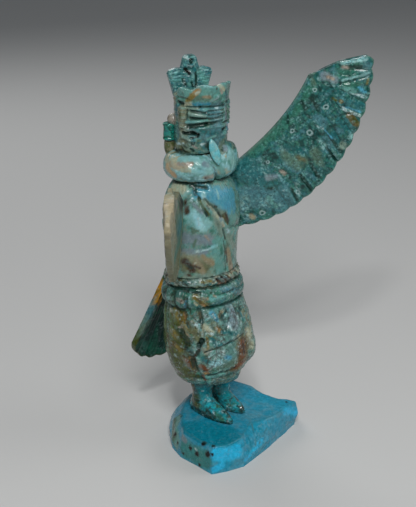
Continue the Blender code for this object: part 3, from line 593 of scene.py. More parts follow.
bodyPaint = (
    # tiara
    ("mint", 180, 92, 188, 92, 5, 0.4), ("mint", 204, 91, 212, 91, 7, 0.4),
    ("mint", 221, 88, 226, 90, 6, 0.4), ("teal", 226, 91, 226, 103, 2.5, 0.4),
    ("paleMint", 205, 86, 211, 86, 1.5, 0.5), ("cream", 217, 85, 224, 90, 2, 0.5),
    ("greyGreen", 194, 98, 210, 99, 2.8, 0.5), ("orange", 198, 91, 192, 96, 2.6, 0.5),
    ("ochre", 192, 96, 187, 102, 2.4, 0.5), ("cream", 199, 92, 196, 94, 1.2, 0.5),
    ("cream", 184, 105, 192, 104, 2, 0.5), ("beige", 203, 97, 210, 97, 1.5, 0.5),
    ("white", 211, 101, 218, 97, 1.5, 0.4), ("deepTeal", 193, 104, 210, 104, 1.8, 0.4),
    ("greenDeep", 212, 105, 222, 104, 1.5, 0.5), ("brown", 217, 88, 217, 89, 1, 0.4),
    ("pinkish", 221, 90, 222, 93, 1.6, 0.5), ("black", 178, 102, 181, 105, 1.8, 0.4),
    # mask: ridge tops are painted paler as highlights, with a white highlight above the eye slot, and the
    # dark lines under the ridges and in the recess are painted shade
    ("greyBlue", 215, 110, 215, 138, 9, 0.35), ("greyGreen", 190, 112, 204, 124, 7, 0.4),
    ("stone", 181, 110, 183, 138, 5.5, 0.6), ("olive", 180, 112, 180, 116, 2, 0.5),
    ("sage", 181, 108, 199, 108, 1, 0.6), ("greenDeep", 192, 111, 206, 113, 1.1, 0.4),
    ("sage", 189, 113, 205, 116, 1.3, 0.6), ("greenDeep", 192, 118, 204, 118, 1.1, 0.4),
    ("mint", 187, 122, 207, 120, 1.1, 0.6), ("greenDeep", 189, 127, 205, 125, 2.3, 0.4),
    ("greenDeep", 205, 125, 216, 122, 1.2, 0.5), ("white", 186, 131, 196, 131, 1.2, 0.5),
    ("teal", 199, 128, 222, 126, 0.9, 0.5), ("teal", 202, 132, 215, 134, 4, 0.5),
    ("greyBlue", 200, 137, 220, 138, 3.4, 0.5), ("black", 182, 133, 198, 135, 1.4, 0.3),
    ("sage", 183, 136, 190, 140, 1.4, 0.5), ("black", 191, 138, 198, 137, 1.2, 0.4),
    ("mint", 207, 139, 214, 136, 1.2, 0.5), ("greenDeep", 208, 111, 223, 109, 0.5, 0.7),
    ("greenDeep", 208, 115, 223, 113, 0.5, 0.7), ("greenDeep", 208, 119, 223, 117, 0.5, 0.7),
    ("sky", 227, 124, 227, 129, 1.6, 0.4), ("white", 216, 108, 218, 108, 1.3, 0.5),
    ("violetGrey", 225, 108, 225, 126, 2.2, 0.5),
    # chin
    ("stone", 179, 145, 180, 150, 3.4, 0.4), ("oliveBeige", 183, 146, 188, 152, 3.4, 0.5),
    ("white", 180, 143, 186, 143, 1, 0.4), ("brown", 183, 149, 185, 150, 1.2, 0.5),
    ("pinkish", 194, 145, 197, 147, 1.1, 0.6), ("greenDeep", 192, 148, 194, 150, 1.2, 0.4),
    ("white", 202, 144, 204, 144, 1.6, 0.5), ("greenDeep", 207, 145, 209, 150, 3, 0.4),
    # ruff
    ("cream", 168, 155, 168, 164, 4, 0.4), ("paleMint", 180, 160, 206, 164, 4, 0.5),
    ("peach", 167, 167, 174, 175, 3.4, 0.4), ("sand", 171, 165, 186, 167, 3.8, 0.5),
    ("cream", 182, 170, 190, 171, 2, 0.5), ("pinkish", 178, 164, 192, 164, 1.8, 0.5),
    ("violetGrey", 204, 164, 208, 166, 2.5, 0.5), ("paleMint", 194, 172, 208, 171, 2.5, 0.5),
    ("pinkish", 206, 178, 212, 176, 2.6, 0.5), ("brown", 205, 178, 206, 178, 0.8, 0.5),
    ("mint", 216, 162, 222, 178, 3.5, 0.4), ("paleMint", 228, 150, 233, 165, 4.5, 0.4),
    ("paleMint", 235, 162, 231, 172, 3, 0.5), ("violetGrey", 225, 147, 226, 150, 2.2, 0.5),
    # torso
    ("sky", 199, 191, 230, 195, 8, 0.4), ("sky", 212, 198, 230, 206, 7, 0.4),
    ("mint", 229, 196, 232, 224, 4, 0.5), ("sky", 226, 190, 229, 212, 4, 0.6),
    ("sky", 230, 192, 234, 210, 5, 0.4), ("mint", 234, 216, 235, 232, 3, 0.4),
    # The deep green along the cape's top, under the ruff, is painted shade in that recess
    ("greenDeep", 192, 185, 206, 187, 1.5, 0.4), ("cream", 175, 185, 179, 191, 4, 0.5),
    ("paleMint", 183, 183, 186, 190, 4, 0.6), ("cream", 181, 182, 185, 189, 3.5, 0.7),
    # The ice spot on this line and the white spot on the next are a painted highlight
    ("ice", 203, 194, 205, 200, 2.6, 0.6), ("sky", 208, 189, 218, 192, 1.6, 0.7),
    ("greenDeep", 194, 188, 197, 191, 1.6, 0.5), ("white", 203, 196, 203, 197, 2, 0.4),
    ("paleMint", 216, 190, 218, 198, 1.3, 0.5), ("olive", 199, 200, 208, 214, 2.8, 0.5),
    ("sage", 205, 203, 222, 215, 4.2, 0.4), ("sage", 215, 214, 222, 232, 4.8, 0.45),
    ("cream", 214, 212, 222, 222, 2, 0.7), ("violetGrey", 220, 218, 224, 226, 2, 0.6),
    ("greyGreen", 198, 200, 206, 213, 1, 0.5), ("stone", 208, 204, 214, 210, 2, 0.6),
    ("sage", 214, 208, 222, 214, 1.6, 0.6), ("khaki", 224, 216, 227, 224, 1.4, 0.6),
    ("brown", 207, 206, 209, 209, 1, 0.6), ("brown", 219, 213, 221, 217, 1.1, 0.6),
    ("greyGreen", 216, 206, 218, 211, 1, 0.6), ("cream", 222, 222, 224, 226, 1.2, 0.6),
    ("brown", 215, 207, 217, 207, 1.3, 0.4), ("brown", 226, 213, 228, 222, 1.5, 0.4),
    ("black", 228, 221, 228, 221, 1, 0.4), ("brown", 225, 236, 226, 239, 1.1, 0.4),
    ("black", 206, 213, 207, 216, 1.3, 0.4), ("white", 226, 229, 229, 233, 1.8, 0.5),
    # The ice and white on the chest bulge, and the white and violet-grey along the diagonal edge above it,
    # are painted highlights
    ("paleMint", 190, 214, 206, 226, 7, 0.35), ("ice", 195, 214, 202, 227, 4.2, 0.4),
    ("white", 198, 219, 199, 224, 1.8, 0.6), ("white", 192, 200, 196, 206, 1.4, 0.5),
    ("violetGrey", 194, 204, 202, 213, 1.8, 0.5), ("white", 196, 200, 204, 212, 0.8, 0.5),
    ("violetGrey", 186, 238, 212, 240, 6.5, 0.4), ("violetGrey", 184, 252, 206, 252, 4, 0.45),
    ("pinkish", 205, 236, 209, 240, 1.2, 0.8), ("greyGreen", 194, 244, 196, 240, 1.5, 0.6),
    # The white streak across the belly is a painted reflection, over a low carved ridge
    ("white", 195, 252, 212, 248, 1.2, 0.4), ("paleMint", 212, 247, 217, 245, 2.2, 0.5),
    ("mint", 214, 241, 222, 241, 3.5, 0.4), ("mint", 214, 252, 221, 270, 5.5, 0.35),
    ("stone", 184, 258, 210, 262, 6, 0.5), ("oliveBeige", 186, 266, 206, 268, 7, 0.5),
    ("sage", 186, 278, 212, 276, 4, 0.5), ("brown", 186, 262, 192, 270, 3.8, 0.45),
    ("rust", 195, 264, 200, 266, 2.6, 0.6), ("beige", 196, 261, 203, 271, 3.5, 0.6),
    ("brown", 195, 266, 200, 268, 1.2, 0.6), ("cream", 195, 263, 196, 263, 1, 0.6),
    ("beige", 203, 256, 208, 262, 2.5, 0.6), ("beige", 209, 260, 213, 264, 2.5, 0.6),
    ("brown", 188, 275, 191, 276, 1.3, 0.5), ("sage", 228, 236, 233, 246, 3.8, 0.5),
    ("beige", 228, 250, 231, 268, 4.4, 0.45), ("brown", 226, 249, 227, 262, 1.2, 0.5),
    ("brown", 230, 262, 230, 264, 0.9, 0.6), ("pinkish", 231, 266, 233, 270, 1.5, 0.5),
    ("brown", 186, 202, 187, 212, 3, 0.6),
    # cord
    ("greenDeep", 184, 283, 190, 284, 2.3, 0.5), ("sage", 190, 285, 212, 281, 1.6, 0.6),
    ("white", 193, 284, 195, 284, 1, 0.5), ("ochre", 202, 282, 212, 281, 1.5, 0.6),
    ("brown", 218, 281, 231, 278, 2.2, 0.5), ("rust", 218, 284, 228, 282, 1.8, 0.5),
    ("black", 216, 279, 226, 276, 1.1, 0.4), ("black", 228, 282, 230, 282, 1, 0.4),
    ("greyGreen", 234, 274, 236, 275, 2.6, 0.5),
    # sash
    ("tealGreen", 170, 294, 230, 292, 8, 0.4), ("greyGreen", 169, 297, 172, 302, 4, 0.5),
    ("paleMint", 169, 297, 170, 299, 1.4, 0.5), ("pinkish", 178, 299, 182, 302, 1.8, 0.5),
    ("sky", 186, 301, 186, 307, 1, 0.5), ("paleMint", 189, 297, 190, 303, 0.9, 0.5),
    ("ochre", 196, 297, 206, 306, 3.4, 0.6), ("cream", 195, 303, 197, 305, 1, 0.5),
    ("beige", 203, 298, 208, 299, 1.5, 0.6), ("orange", 203, 305, 206, 307, 1.2, 0.6),
    ("greyBlue", 222, 290, 233, 289, 3.2, 0.45), ("sky", 226, 288, 229, 290, 0.8, 0.7),
    ("greyBlue", 235, 290, 238, 291, 3, 0.5), ("mint", 212, 299, 224, 298, 3, 0.4),
    ("teal", 212, 305, 225, 299, 1.6, 0.5), ("greenDeep", 180, 291, 200, 293, 1.2, 0.5),
    ("beige", 214, 296, 216, 297, 1.2, 0.6),
    # kilt
    ("haze", 228, 320, 232, 356, 17, 0.25), ("fern", 165, 314, 167, 334, 4, 0.4),
    ("olive", 172, 348, 178, 372, 6, 0.4), ("ochre", 168, 336, 171, 350, 3.4, 0.6),
    ("olive", 178, 318, 180, 372, 12, 0.25), ("olive", 176, 345, 190, 368, 8, 0.3),
    ("fern", 171, 316, 171, 335, 3, 0.5), ("cream", 170, 308, 173, 311, 2, 0.4),
    ("ochre", 176, 313, 184, 321, 4.2, 0.5), ("orange", 185, 313, 186, 318, 1.3, 0.6),
    ("ochre", 183, 324, 188, 331, 3.2, 0.6), ("brown", 189, 323, 191, 327, 1.4, 0.6),
    ("pinkish", 179, 327, 182, 327, 1, 0.5), ("oliveBeige", 192, 325, 199, 341, 4.6, 0.3),
    ("white", 195, 322, 201, 331, 1.7, 0.5), ("paleMint", 199, 324, 201, 330, 1, 0.5),
    ("teal", 200, 321, 203, 322, 1.5, 0.5), ("orange", 187, 334, 190, 336, 1.3, 0.6),
    ("moss", 180, 332, 188, 343, 4.4, 0.2), ("ochre", 172, 331, 176, 336, 3, 0.6),
    ("ochre", 174, 344, 180, 350, 3, 0.6), ("greenDeep", 186, 347, 192, 352, 2, 0.6),
    ("black", 202, 341, 200, 345, 2.6, 0.4), ("black", 199, 346, 198, 352, 1.9, 0.5),
    ("brown", 199, 350, 195, 356, 1.5, 0.4), ("khaki", 184, 358, 194, 368, 4.2, 0.6),
    ("rust", 186, 360, 190, 366, 1.4, 0.6), ("rust", 193, 358, 194, 366, 1.2, 0.6),
    ("orange", 192, 357, 196, 360, 1.5, 0.6), ("beige", 204, 349, 207, 354, 2, 0.6),
    ("ochre", 207, 337, 208, 347, 1.4, 0.6), ("ochre", 209, 335, 214, 338, 1.5, 0.6),
    ("white", 208, 341, 212, 341, 1, 0.5), ("cream", 205, 325, 211, 333, 3, 0.6),
    ("white", 209, 333, 213, 334, 1.4, 0.6), ("oliveBeige", 214, 324, 221, 332, 3, 0.6),
    ("orange", 217, 328, 221, 331, 1.4, 0.7), ("brown", 222, 330, 222, 334, 0.9, 0.5),
    ("sky", 212, 313, 217, 319, 2.6, 0.3), ("white", 213, 314, 215, 318, 1, 0.5),
    ("beige", 219, 316, 223, 310, 1.8, 0.5), ("white", 204, 313, 207, 318, 1.8, 0.6),
    ("orange", 200, 313, 201, 318, 1.2, 0.6), ("violetGrey", 231, 310, 235, 324, 6.5, 0.4),
    ("white", 228, 325, 230, 330, 1.9, 0.7), ("white", 237, 314, 240, 322, 1.4, 0.7),
    ("teal", 222, 318, 228, 309, 1.4, 0.5), ("paleMint", 223, 320, 228, 313, 1, 0.5),
    ("teal", 240, 308, 242, 320, 1.3, 0.6), ("teal", 212, 338, 216, 344, 2, 0.6),
    ("teal", 222, 332, 236, 333, 2, 0.5), ("teal", 215, 346, 232, 341, 1.8, 0.6),
    ("white", 211, 356, 222, 352, 4, 0.5), ("ice", 212, 364, 219, 362, 3.4, 0.6),
    ("lace", 213, 351, 221, 356, 2.6, 0.6), ("sky", 226, 357, 230, 358, 2.4, 0.5),
    ("white", 207, 370, 214, 366, 1.8, 0.6), ("teal", 203, 358, 208, 362, 2.4, 0.6),
    ("greyGreen", 224, 366, 236, 361, 3, 0.6), ("rust", 201, 366, 206, 370, 3, 0.4),
    ("orange", 204, 373, 208, 374, 1.5, 0.6), ("rust", 203, 376, 205, 380, 1.9, 0.45),
    ("cream", 238, 336, 242, 346, 2.6, 0.6), ("beige", 246, 330, 248, 338, 3, 0.6),
    ("cream", 248, 332, 250, 346, 5, 0.5), ("khaki", 242, 342, 244, 360, 9, 0.4),
    ("khaki", 234, 369, 243, 362, 5, 0.4), ("rust", 242, 344, 243, 355, 5, 0.45),
    ("brown", 243, 346, 244, 352, 2, 0.6), ("rust", 236, 367, 243, 361, 3, 0.5),
    ("mint", 208, 378, 224, 373, 2.4, 0.5), ("greenDeep", 208, 376, 222, 371, 0.8, 0.5),
    ("greenDeep", 205, 352, 216, 348, 0.6, 0.5), ("greenDeep", 216, 348, 243, 333, 0.6, 0.5),
    ("olive", 184, 374, 197, 377, 3, 0.5), ("black", 190, 371, 192, 371, 0.8, 0.5),
)
bodyCuts = (
    # tiara and mask
    (-0.35, 178, 106, 200, 107, 1.2), (-0.35, 200, 107, 224, 105, 1.2), (0.25, 210, 101, 218, 97, 1.6),
    (-0.8, 178, 103, 181, 104, 2.2), (-0.25, 178, 97, 187, 99, 1.2), (0.15, 181, 108, 200, 109, 1.2),
    (-0.35, 191, 111, 206, 113, 1.3), (0.35, 189, 114, 205, 116, 2), (-0.5, 191, 118, 206, 119, 1.3),
    (0.3, 187, 122, 207, 121, 1.6), (-0.6, 189, 127, 206, 124, 2.4), (-0.4, 206, 124, 222, 120, 1.4),
    (0.25, 185, 130, 198, 131, 1.3), (0.2, 198, 128, 223, 126, 1.1), (-0.9, 182, 133, 198, 135, 1.5),
    (0.35, 182, 136, 190, 140, 2), (-0.5, 191, 138, 198, 137, 1.4), (0.25, 206, 139, 215, 136, 1.7),
    (-0.3, 187, 110, 187, 118, 1), (-0.25, 208, 111, 223, 109, 1), (-0.25, 208, 115, 223, 113, 1),
    (-0.25, 208, 119, 223, 116.5, 1),
    # chin and ruff
    (-0.35, 184, 148, 186, 151, 1.6), (-0.4, 192, 149, 194, 150, 1.4), (-0.12, 168, 164, 196, 176, 1),
    (-0.12, 178, 160, 206, 172, 1), (-0.12, 188, 161, 213, 175, 1), (-0.12, 186, 177, 206, 179, 1),
    (-0.14, 228, 150, 225, 165, 1), (-0.14, 233, 153, 229, 172, 1),
    # torso
    (-0.5, 191, 186, 207, 188, 1.8), (-0.4, 194, 191, 199, 199, 1.6), (-0.4, 199, 200, 207, 216, 2),
    (-0.22, 205, 203, 222, 214, 3.6), (-0.22, 218, 216, 220, 234, 3.4), (-0.35, 223, 226, 226, 239, 1.3),
    (-0.3, 224, 241, 226, 270, 1.1), (0.15, 195, 252, 216, 247, 1.6), (-0.3, 187, 266, 191, 268, 2.6),
    (-0.12, 193, 200, 204, 214, 0.8), (-0.12, 191, 204, 199, 214, 0.8),
    # sash
    (-0.35, 184, 291, 200, 294, 1.2), (-0.3, 208, 298, 234, 290, 1.2), (-0.25, 192, 295, 208, 308, 1),
    (-0.3, 172, 293, 173, 306, 0.9), (-0.3, 176, 292, 177, 306, 0.9), (-0.25, 183, 293, 183, 307, 0.9),
    (-0.25, 188, 295, 188, 308, 0.9), (-0.25, 192, 296, 193, 307, 0.9),
    # kilt
    (-0.25, 205, 352, 216, 348, 0.9), (-0.25, 216, 348, 243, 333, 0.9), (-1.2, 202, 341, 199, 346, 2.4),
    (-0.8, 199, 346, 197, 355, 1.7), (-0.25, 180, 332, 189, 344, 3.6), (0.25, 183, 323, 191, 337, 2),
    (0.2, 192, 323, 200, 333, 1.6), (-0.2, 220, 322, 228, 309, 1), (-0.2, 226, 330, 231, 310, 1),
    (-0.2, 234, 328, 237, 308, 1), (-0.2, 239, 326, 241, 309, 1), (-0.3, 208, 376, 236, 367, 1),
    (-0.3, 184, 356, 188, 362, 1.2), (-0.3, 192, 360, 193, 368, 1.2), (-0.25, 206, 337, 208, 345, 1.2),
    (0.2, 210, 325, 221, 322, 2), (0.25, 212, 355, 222, 362, 4),
)


def aroundBody(point):               # a place on the body as its angle and height
    x, y = axisAt(point[2])
    return math.degrees(math.atan2(point[1] - y, point[0] - x)), point[2]


def bodyPlace(angle, z):             # millimetres round the body and up it
    slimmer = body["bodyRadius"] - body["headRadius"]
    radius = body["bodyRadius"] - slimmer * smooth(ruffTop - 0.2, ruffTop + 0.6, z)
    return joined(np.radians(angle) * radius, z)


def bodyShare(angle, z, numbers, soft, wobble):
    # A stroke from one angle and height to another
    first, low, last, high, half = numbers
    ends = bodyPlace(0.0, low), bodyPlace(turn(last, first), high)
    return strokeShare(bodyPlace(turn(angle, first), z), *ends, half, soft, wobble)


def creased(points, size):           # sharp little ridges of worn, pitted stone
    return 1 - 2 * np.abs(grain(points, size, 4))


def trunkGrid():
    angle = (np.arange(body["segments"]) * 360 / body["segments"])[None, :]
    across, along = np.cos(np.radians(angle)), np.sin(np.radians(angle))
    lobed, tiaraRow = tiaraShare(angle), figure["tiara"]
    past = turn(facing["worn"], angle)   # worn lower on the right cheek's side
    worn = body["rimWear"] * smooth(0, 14, past) * fade(55, 75, past)
    dip = 0.72 * tiaraRow * (1 - lobed) + body["lobeRise"] * (1 - lobes(angle)) / 2 * lobed + worn
    grids, reaches = [], []
    for zs, sides, depths, carving in sections():
        z, side, depth = zs[:, None], sides[:, None], depths[:, None]
        reach = side * depth / np.hypot(depth * across, side * along) + carving(angle, z)
        x, y = axisAt(z)
        onRuff = smooth(shoulder + 0.3 * figure["ruff"], ruffTop, z)
        onRuff = onRuff * fade(ruffTop, ruffTop + 0.3 * figure["chin"], z)
        lift = body["ruffRise"] * onRuff * hump(turn(angle, facing["ruffCrest"]), 0, 75)
        drop = dip * np.maximum(0, np.minimum(z, rim) - brow) / tiaraRow
        up = np.maximum(z + lift - drop, np.minimum(z, brow + 0.28 * tiaraRow))
        grids.append(joined(x + reach * across, y + reach * along, up))
        reaches.append(reach)
    grid, reach = np.concatenate(grids), np.concatenate(reaches)
    height, fray = grid[..., 2], 0.3 * frayed(grid)
    cuts = fromPhoto("dancer", bodyCuts, aroundBody)
    change = sum(amount * bodyShare(angle, height, numbers, 0.75, fray) for amount, *numbers in cuts)
    # Lumps and pits, fewer on the head; the cloth of the kilt, sash and cord is the most weathered
    lump = body["lump"] * (grain(grid, 3.1) + 0.35 * grain(grid, 0.9))
    pitted = 0.3 + smooth(0.05, 0.5, grain(grid + 40, 6.0, 2))
    pits = body["pitting"] * smooth(0.25, 0.7, grain(grid + 9, 0.7)) * pitted
    calm = 1 - 0.6 * smooth(chin, chin + 0.5, height)
    cloth = fade(cordTop - 0.3, cordTop + 0.3, height)
    kilt = fade(kiltTop - 1.5, kiltTop, height)
    creases = creased(grid, 1.7) * cloth + 0.2 * creased(grid + 5, 1.1) * (1 - cloth)
    change = change + (lump - pits) * calm + body["weathering"] * creases
    change = change + body["heave"] * grain(grid + 77, 4.6, 2) * kilt
    return grid + joined(across, along, 0) * change[..., None], hollows(reach + change, (4, 4))


# Legs and soft boots; stations are shares of the length with shares of the half-width and height
boots = {
    "radius": 2.8, "apart": 3.1, "legRows": 52, "legColumns": 64, "footRows": 72, "footColumns": 44,
    "heel": 3.3, "width": 5.3, "instep": 4.6, "toes": {-1: 11.3, 1: 9.2}, "ridge": 0.22, "seam": 0.1,
    "crease": 0.06,
    "leg": (
        (0.1, 0.84), (0.3, 0.86), (0.38, 1.0), (0.48, 0.88), (0.62, 0.92), (0.7, 1.06), (0.82, 0.97),
        (1.25, 1),
    ),
    "foot": (
        (0.0, 0.45, 0.5), (0.06, 0.78, 0.78), (0.24, 0.94, 1.0), (0.4, 1.0, 0.92), (0.55, 1.0, 0.7),
        (0.7, 0.88, 0.54), (0.84, 0.64, 0.42), (0.95, 0.34, 0.34), (1.0, 0.16, 0.2),
    ),
}


def softened(stations, share, width):    # each column of the stations as a soft line over the shares
    shares, *columns = zip(*stations)
    for column in columns:
        line = np.interp(share, shares, column)[:, None]
        yield line + hollows(line, (width, 0))


def legGrid(side):
    share = np.linspace(0.1, 1.25, boots["legRows"])
    swell, = softened(boots["leg"], share, 2)
    share = share[:, None]
    angle = turns(boots["legColumns"])
    tilt = 0.03 * np.sin(angle - 0.6)
    cuts = boots["crease"] * (hump(share + tilt, 0.68, 0.03) + hump(share - tilt, 0.33, 0.025))
    reach = boots["radius"] * (swell - cuts) + 0.07 * np.sin(3 * angle + 9 * share)
    x = figure["stance"][0] + side * boots["apart"] + reach * np.cos(angle)
    y = figure["stance"][1] + reach * np.sin(angle)
    return joined(x, y, sole + share * figure["leg"]), hollows(reach, (3, 3))


def footGrid(side):
    share = np.linspace(0, 1, boots["footRows"])
    wide, high = softened(boots["foot"], share, 3)
    share, toe = share[:, None], boots["toes"][side]
    bend = np.linspace(0, math.pi, boots["footColumns"])[None, :]
    across = wide * boots["width"] / 2 * np.cos(bend)
    ridge = hump(bend, math.pi / 2, 0.5) * smooth(0.3, 0.5, share) * fade(0.9, 1, share)
    up = high * boots["instep"] * np.sin(bend) ** 0.8 * (1 + 0.05 * np.sin(7 * share))
    up = up + boots["ridge"] * ridge
    across = across * (1 - boots["seam"] * (hump(bend, 0.42, 0.13) + hump(bend, math.pi - 0.42, 0.13)))
    x = figure["stance"][0] + side * boots["apart"] + across
    y = figure["stance"][1] + boots["heel"] - share * (boots["heel"] + toe)
    return joined(x, y, sole + np.maximum(up, 0)), hollows(np.hypot(across, up), (3, 3), wrap=False)


def ballGrid(centre, radius, rows=24, columns=32):
    tilt = np.linspace(-1, 1, rows)[:, None] * math.radians(88)
    angle = turns(columns)
    ball = joined(np.cos(tilt) * np.cos(angle), np.cos(tilt) * np.sin(angle), np.sin(tilt))
    return ball * radius + np.array(centre)


def united(piece, helpers):
    # Joins closed helpers to a piece, so that no face is left inside it
    for helper in helpers:
        joint = piece.modifiers.new(helper.name, "BOOLEAN")
        joint.operation, joint.solver, joint.object = "UNION", "MANIFOLD", helper
    whole = piece.evaluated_get(bpy.context.evaluated_depsgraph_get())
    mesh = bpy.data.meshes.new_from_object(whole)
    piece.modifiers.clear()
    piece.data = mesh
    for helper in helpers:
        bpy.data.objects.remove(helper, do_unlink=True)
    return piece


bodyGrounds = (                      # up to each height
    (sole + 3.1, ("greenDeep", "teal", "legTeal", "tealGreen")),
    (hem - 0.1, ("teal", "legTeal", "greyGreen")),
    (kiltTop - 0.1, ("tealGreen", "mint", "greyGreen", "sage", "teal", "stone")),
    (sashTop - 0.1, ("tealGreen", "teal", "greyGreen")),
    (cordTop, ("oliveBeige", "brown", "cream", "teal")),
    (shoulder + 0.1, ("greyGreen", "mint", "sage", "mint", "tealGreen")),
    (ruffTop, ("cream", "paleMint", "ice", "paleMint", "mint")),
    (chin, ("teal", "greyGreen", "sage", "greenDeep")),
    (brow - 0.1, ("greyGreen", "mint", "greyBlue", "teal")), (rim + 10, ("mint", "tealGreen", "mint")),
)
# The hidden side is plainer: a few broad strokes from one angle and height to another, widths in mm
backPaint = (
    ("sky", 64, 67, 110, 66, 5, 0.35), ("sky", 0, 66, 40, 62, 5, 0.35), ("olive", 110, 33, 140, 30, 4, 0.4),
    ("rust", 95, 22, 115, 24, 1.6, 0.5), ("fern", 150, 34, 156, 22, 3.4, 0.5),
    ("white", 10, 33, 30, 30, 2.6, 0.6), ("teal", -20, 26, 20, 24, 2.4, 0.5),
    ("brown", 60, 29, 80, 26, 2, 0.6), ("orange", 50, 73, 80, 73.5, 1.8, 0.6),
    ("cream", 40, 41, 80, 42, 1.6, 0.5), ("oliveBeige", 60, 84, 110, 85, 3, 0.4),
    ("rust", 150, 54, 165, 50, 1.6, 0.6), ("stone", 128, 66, 140, 54, 3.5, 0.4),
    ("beige", 30, 52, 60, 50, 2.4, 0.6), ("pinkish", 26, 83.5, 30, 84, 1.6, 0.5),
    ("pinkish", 137, 84.4, 145, 84.4, 1.8, 0.4), ("beige", 130, 90, 150, 89, 1.4, 0.5),
)
footPaint = (
    # The white spot on the near leg is a painted highlight
    ("legTeal", 206, 387, 207, 402, 5.5, 0.4), ("white", 202, 391, 203, 391, 1, 0.5),
    ("white", 228, 393, 229, 396, 1, 0.6), ("greenDeep", 194, 390, 209, 386, 0.8, 0.4),
    ("paleMint", 203, 403, 209, 399, 0.8, 0.5), ("moss", 194, 382, 195, 402, 5.5, 0.4),
    ("khaki", 193, 386, 193, 400, 2.5, 0.6), ("olive", 194, 400, 197, 406, 2.6, 0.5),
    ("brown", 193, 388, 194, 390, 1.3, 0.6), ("legTeal", 212, 408, 222, 418, 4, 0.5),
    ("tealGreen", 216, 414, 222, 420, 3, 0.6), ("white", 213, 411, 214, 415, 1, 0.6),
    # The deep green strokes under the near foot are painted shadow
    ("greenDeep", 196, 408, 212, 421, 2, 0.5), ("greenDeep", 214, 423, 229, 426, 1.2, 0.5),
    ("greenDeep", 237, 406, 243, 409, 1.4, 0.5), ("legTeal", 232, 398, 239, 403, 2.6, 0.5),
)
farLegPaint = (                      # from point to point on the left leg, in mm
    ("legTeal", -0.6, 3.2, 16.6, -1, 0.6, 10.2, 1.5, 0.4),
    ("white", -0.4, 2.2, 15.2, 0, 2.1, 13.4, 0.28, 0.6),
)


def bodyColour(points, grit):
    z = points[..., 2]
    x, y = axisAt(z)
    angle = np.degrees(np.arctan2(points[..., 1] - y, points[..., 0] - x))
    level = z + 0.12 * grain(points + 3, 1.2)
    colour, fray = np.zeros(points.shape), frayed(points)
    for top, grounds in reversed(bodyGrounds):
        colour = np.where((level < top)[..., None], clouded(points, grounds, 2.4), colour)
    marks = [*backPaint, *fromPhoto("dancer", bodyPaint, aroundBody)]
    above = ((name, bodyShare(angle, z, ends, soft, fray)) for name, *ends, soft in marks)
    below = strokesOn(points, [*fromPhoto("dancer", footPaint), *farLegPaint], fray)
    onTrunk = (z > hem - 0.1)[..., None]
    colour = np.where(onTrunk, painted(colour, above, points), painted(colour, below, points))
    return tinted(colour, points, 0.26, grit)


def pointsOf(piece):
    flat = np.zeros(len(piece.data.vertices) * 3, dtype=np.float32)
    piece.data.vertices.foreach_get("co", flat)
    return flat.reshape(-1, 3).astype(float) / mm


dancerLook = {
    "crumb": 0.6, "specks": 0.8, "veins": 0.6, "mottle": 0.3, "bump": 0.25, "dirt": 0.75, "dirtDepth": 0.26,
}
# Ear lobes and beads; the left ear sits a little higher
ears = {
    "radius": 1.55, "height": 4.2, "dropRadius": 1.35, "drop": 3.7, "lobe": 1.5, "level": 3.9,
    "leftRise": 0.8, "rows": 90, "columns": 64, "wave": 0.03,
}


def earHeight(side):
    return chin + ears["level"] + (ears["leftRise"] if side > 0 else 0)


trunk, trunkHollow = trunkGrid()
dancer = skin("dancerStone", trunk, {"hollow": trunkHollow})
helpers = []
for side in (-1, 1):
    place = around(facing["face"] + side * facing["ears"], girth["mask"][0], earHeight(side))
    lobe = ballGrid(place, ears["lobe"])
    shapes = {"leg": legGrid(side), "foot": footGrid(side), "lobe": (lobe, 0 * lobe[..., 0])}
    helpers += [skin(name, points, {"hollow": hollow}) for name, (points, hollow) in shapes.items()]
dancer = united(dancer, helpers)
spots = pointsOf(dancer)
grit = 1 - 0.8 * smooth(cordTop - 0.3, cordTop + 0.3, spots[:, 2])     # cleaner above the cord
grit = grit + 0.3 * smooth(ruffTop, chin, spots[:, 2])
coat(dancer.data, bodyColour(spots, grit), grit)
finished(dancer, "dancer", "body_stone", dancerLook)


# Wings, in their own frame: x along the wing, y to the leading edge, z through it
wing = {
    "reach": 9.0, "turn": 7, "height": 17.0, "setIn": 0.6, "length": 48.8, "chord": 17.8, "wrist": 35.0,
    "wristShare": 0.64, "root": 3.2, "tip": 1.7, "feathers": 16, "lines": 20, "rows": 58, "edgePoints": 4,
    "edge": 0.18, "step": 0.3, "covert": 0.35, "scallop": 0.55, "crown": 0.12, "shaft": 0.06, "tier": 0.16,
    "tierEnd": 0.67, "tierGroove": 0.12, "valley": 0.11, "lump": 0.07, "bow": 0.55,
    "left": {"side": 1, "sweep": 45, "lift": 40, "worn": 1.0, "sharp": 50},
    "right": {"side": -1, "sweep": 47.5, "lift": 9, "worn": 0.4, "sharp": 85},
}


def wingEdges():
    xs = np.linspace(-0.25, 1, 60) * wing["wrist"]
    lead = joined(xs, wing["chord"] * (0.253 + 0.325 * np.maximum(0, xs / wing["wrist"]) ** 3))
    fullest, start, low = 0.287 * wing["length"], -0.164 * wing["length"], -0.747 * wing["chord"]
    xs = np.linspace(start, fullest, 40)[:-1]
    inner = joined(xs, low + 0.236 * wing["chord"] * ((fullest - xs) / (0.32 * wing["length"])) ** 2)
    bend = np.radians(np.linspace(0, 86, 120))
    rise = 0.955 * wing["chord"] * (1 - np.cos(bend) ** 1.7)
    outer = joined(fullest + (wing["length"] - fullest) * np.sin(bend), low + rise)
    corner = np.array([[0.996, 0.262], [0.99, 0.312]]) * (wing["length"], wing["chord"])
    return lead, np.concatenate([inner, outer, corner])


def along(line, share):
    lengths = np.concatenate([[0], np.cumsum(np.linalg.norm(np.diff(line, axis=0), axis=1))])
    rest = np.clip(share, 0, 1) * lengths[-1]
    return joined(*(np.interp(rest, lengths, line[:, k]) for k in range(2)))


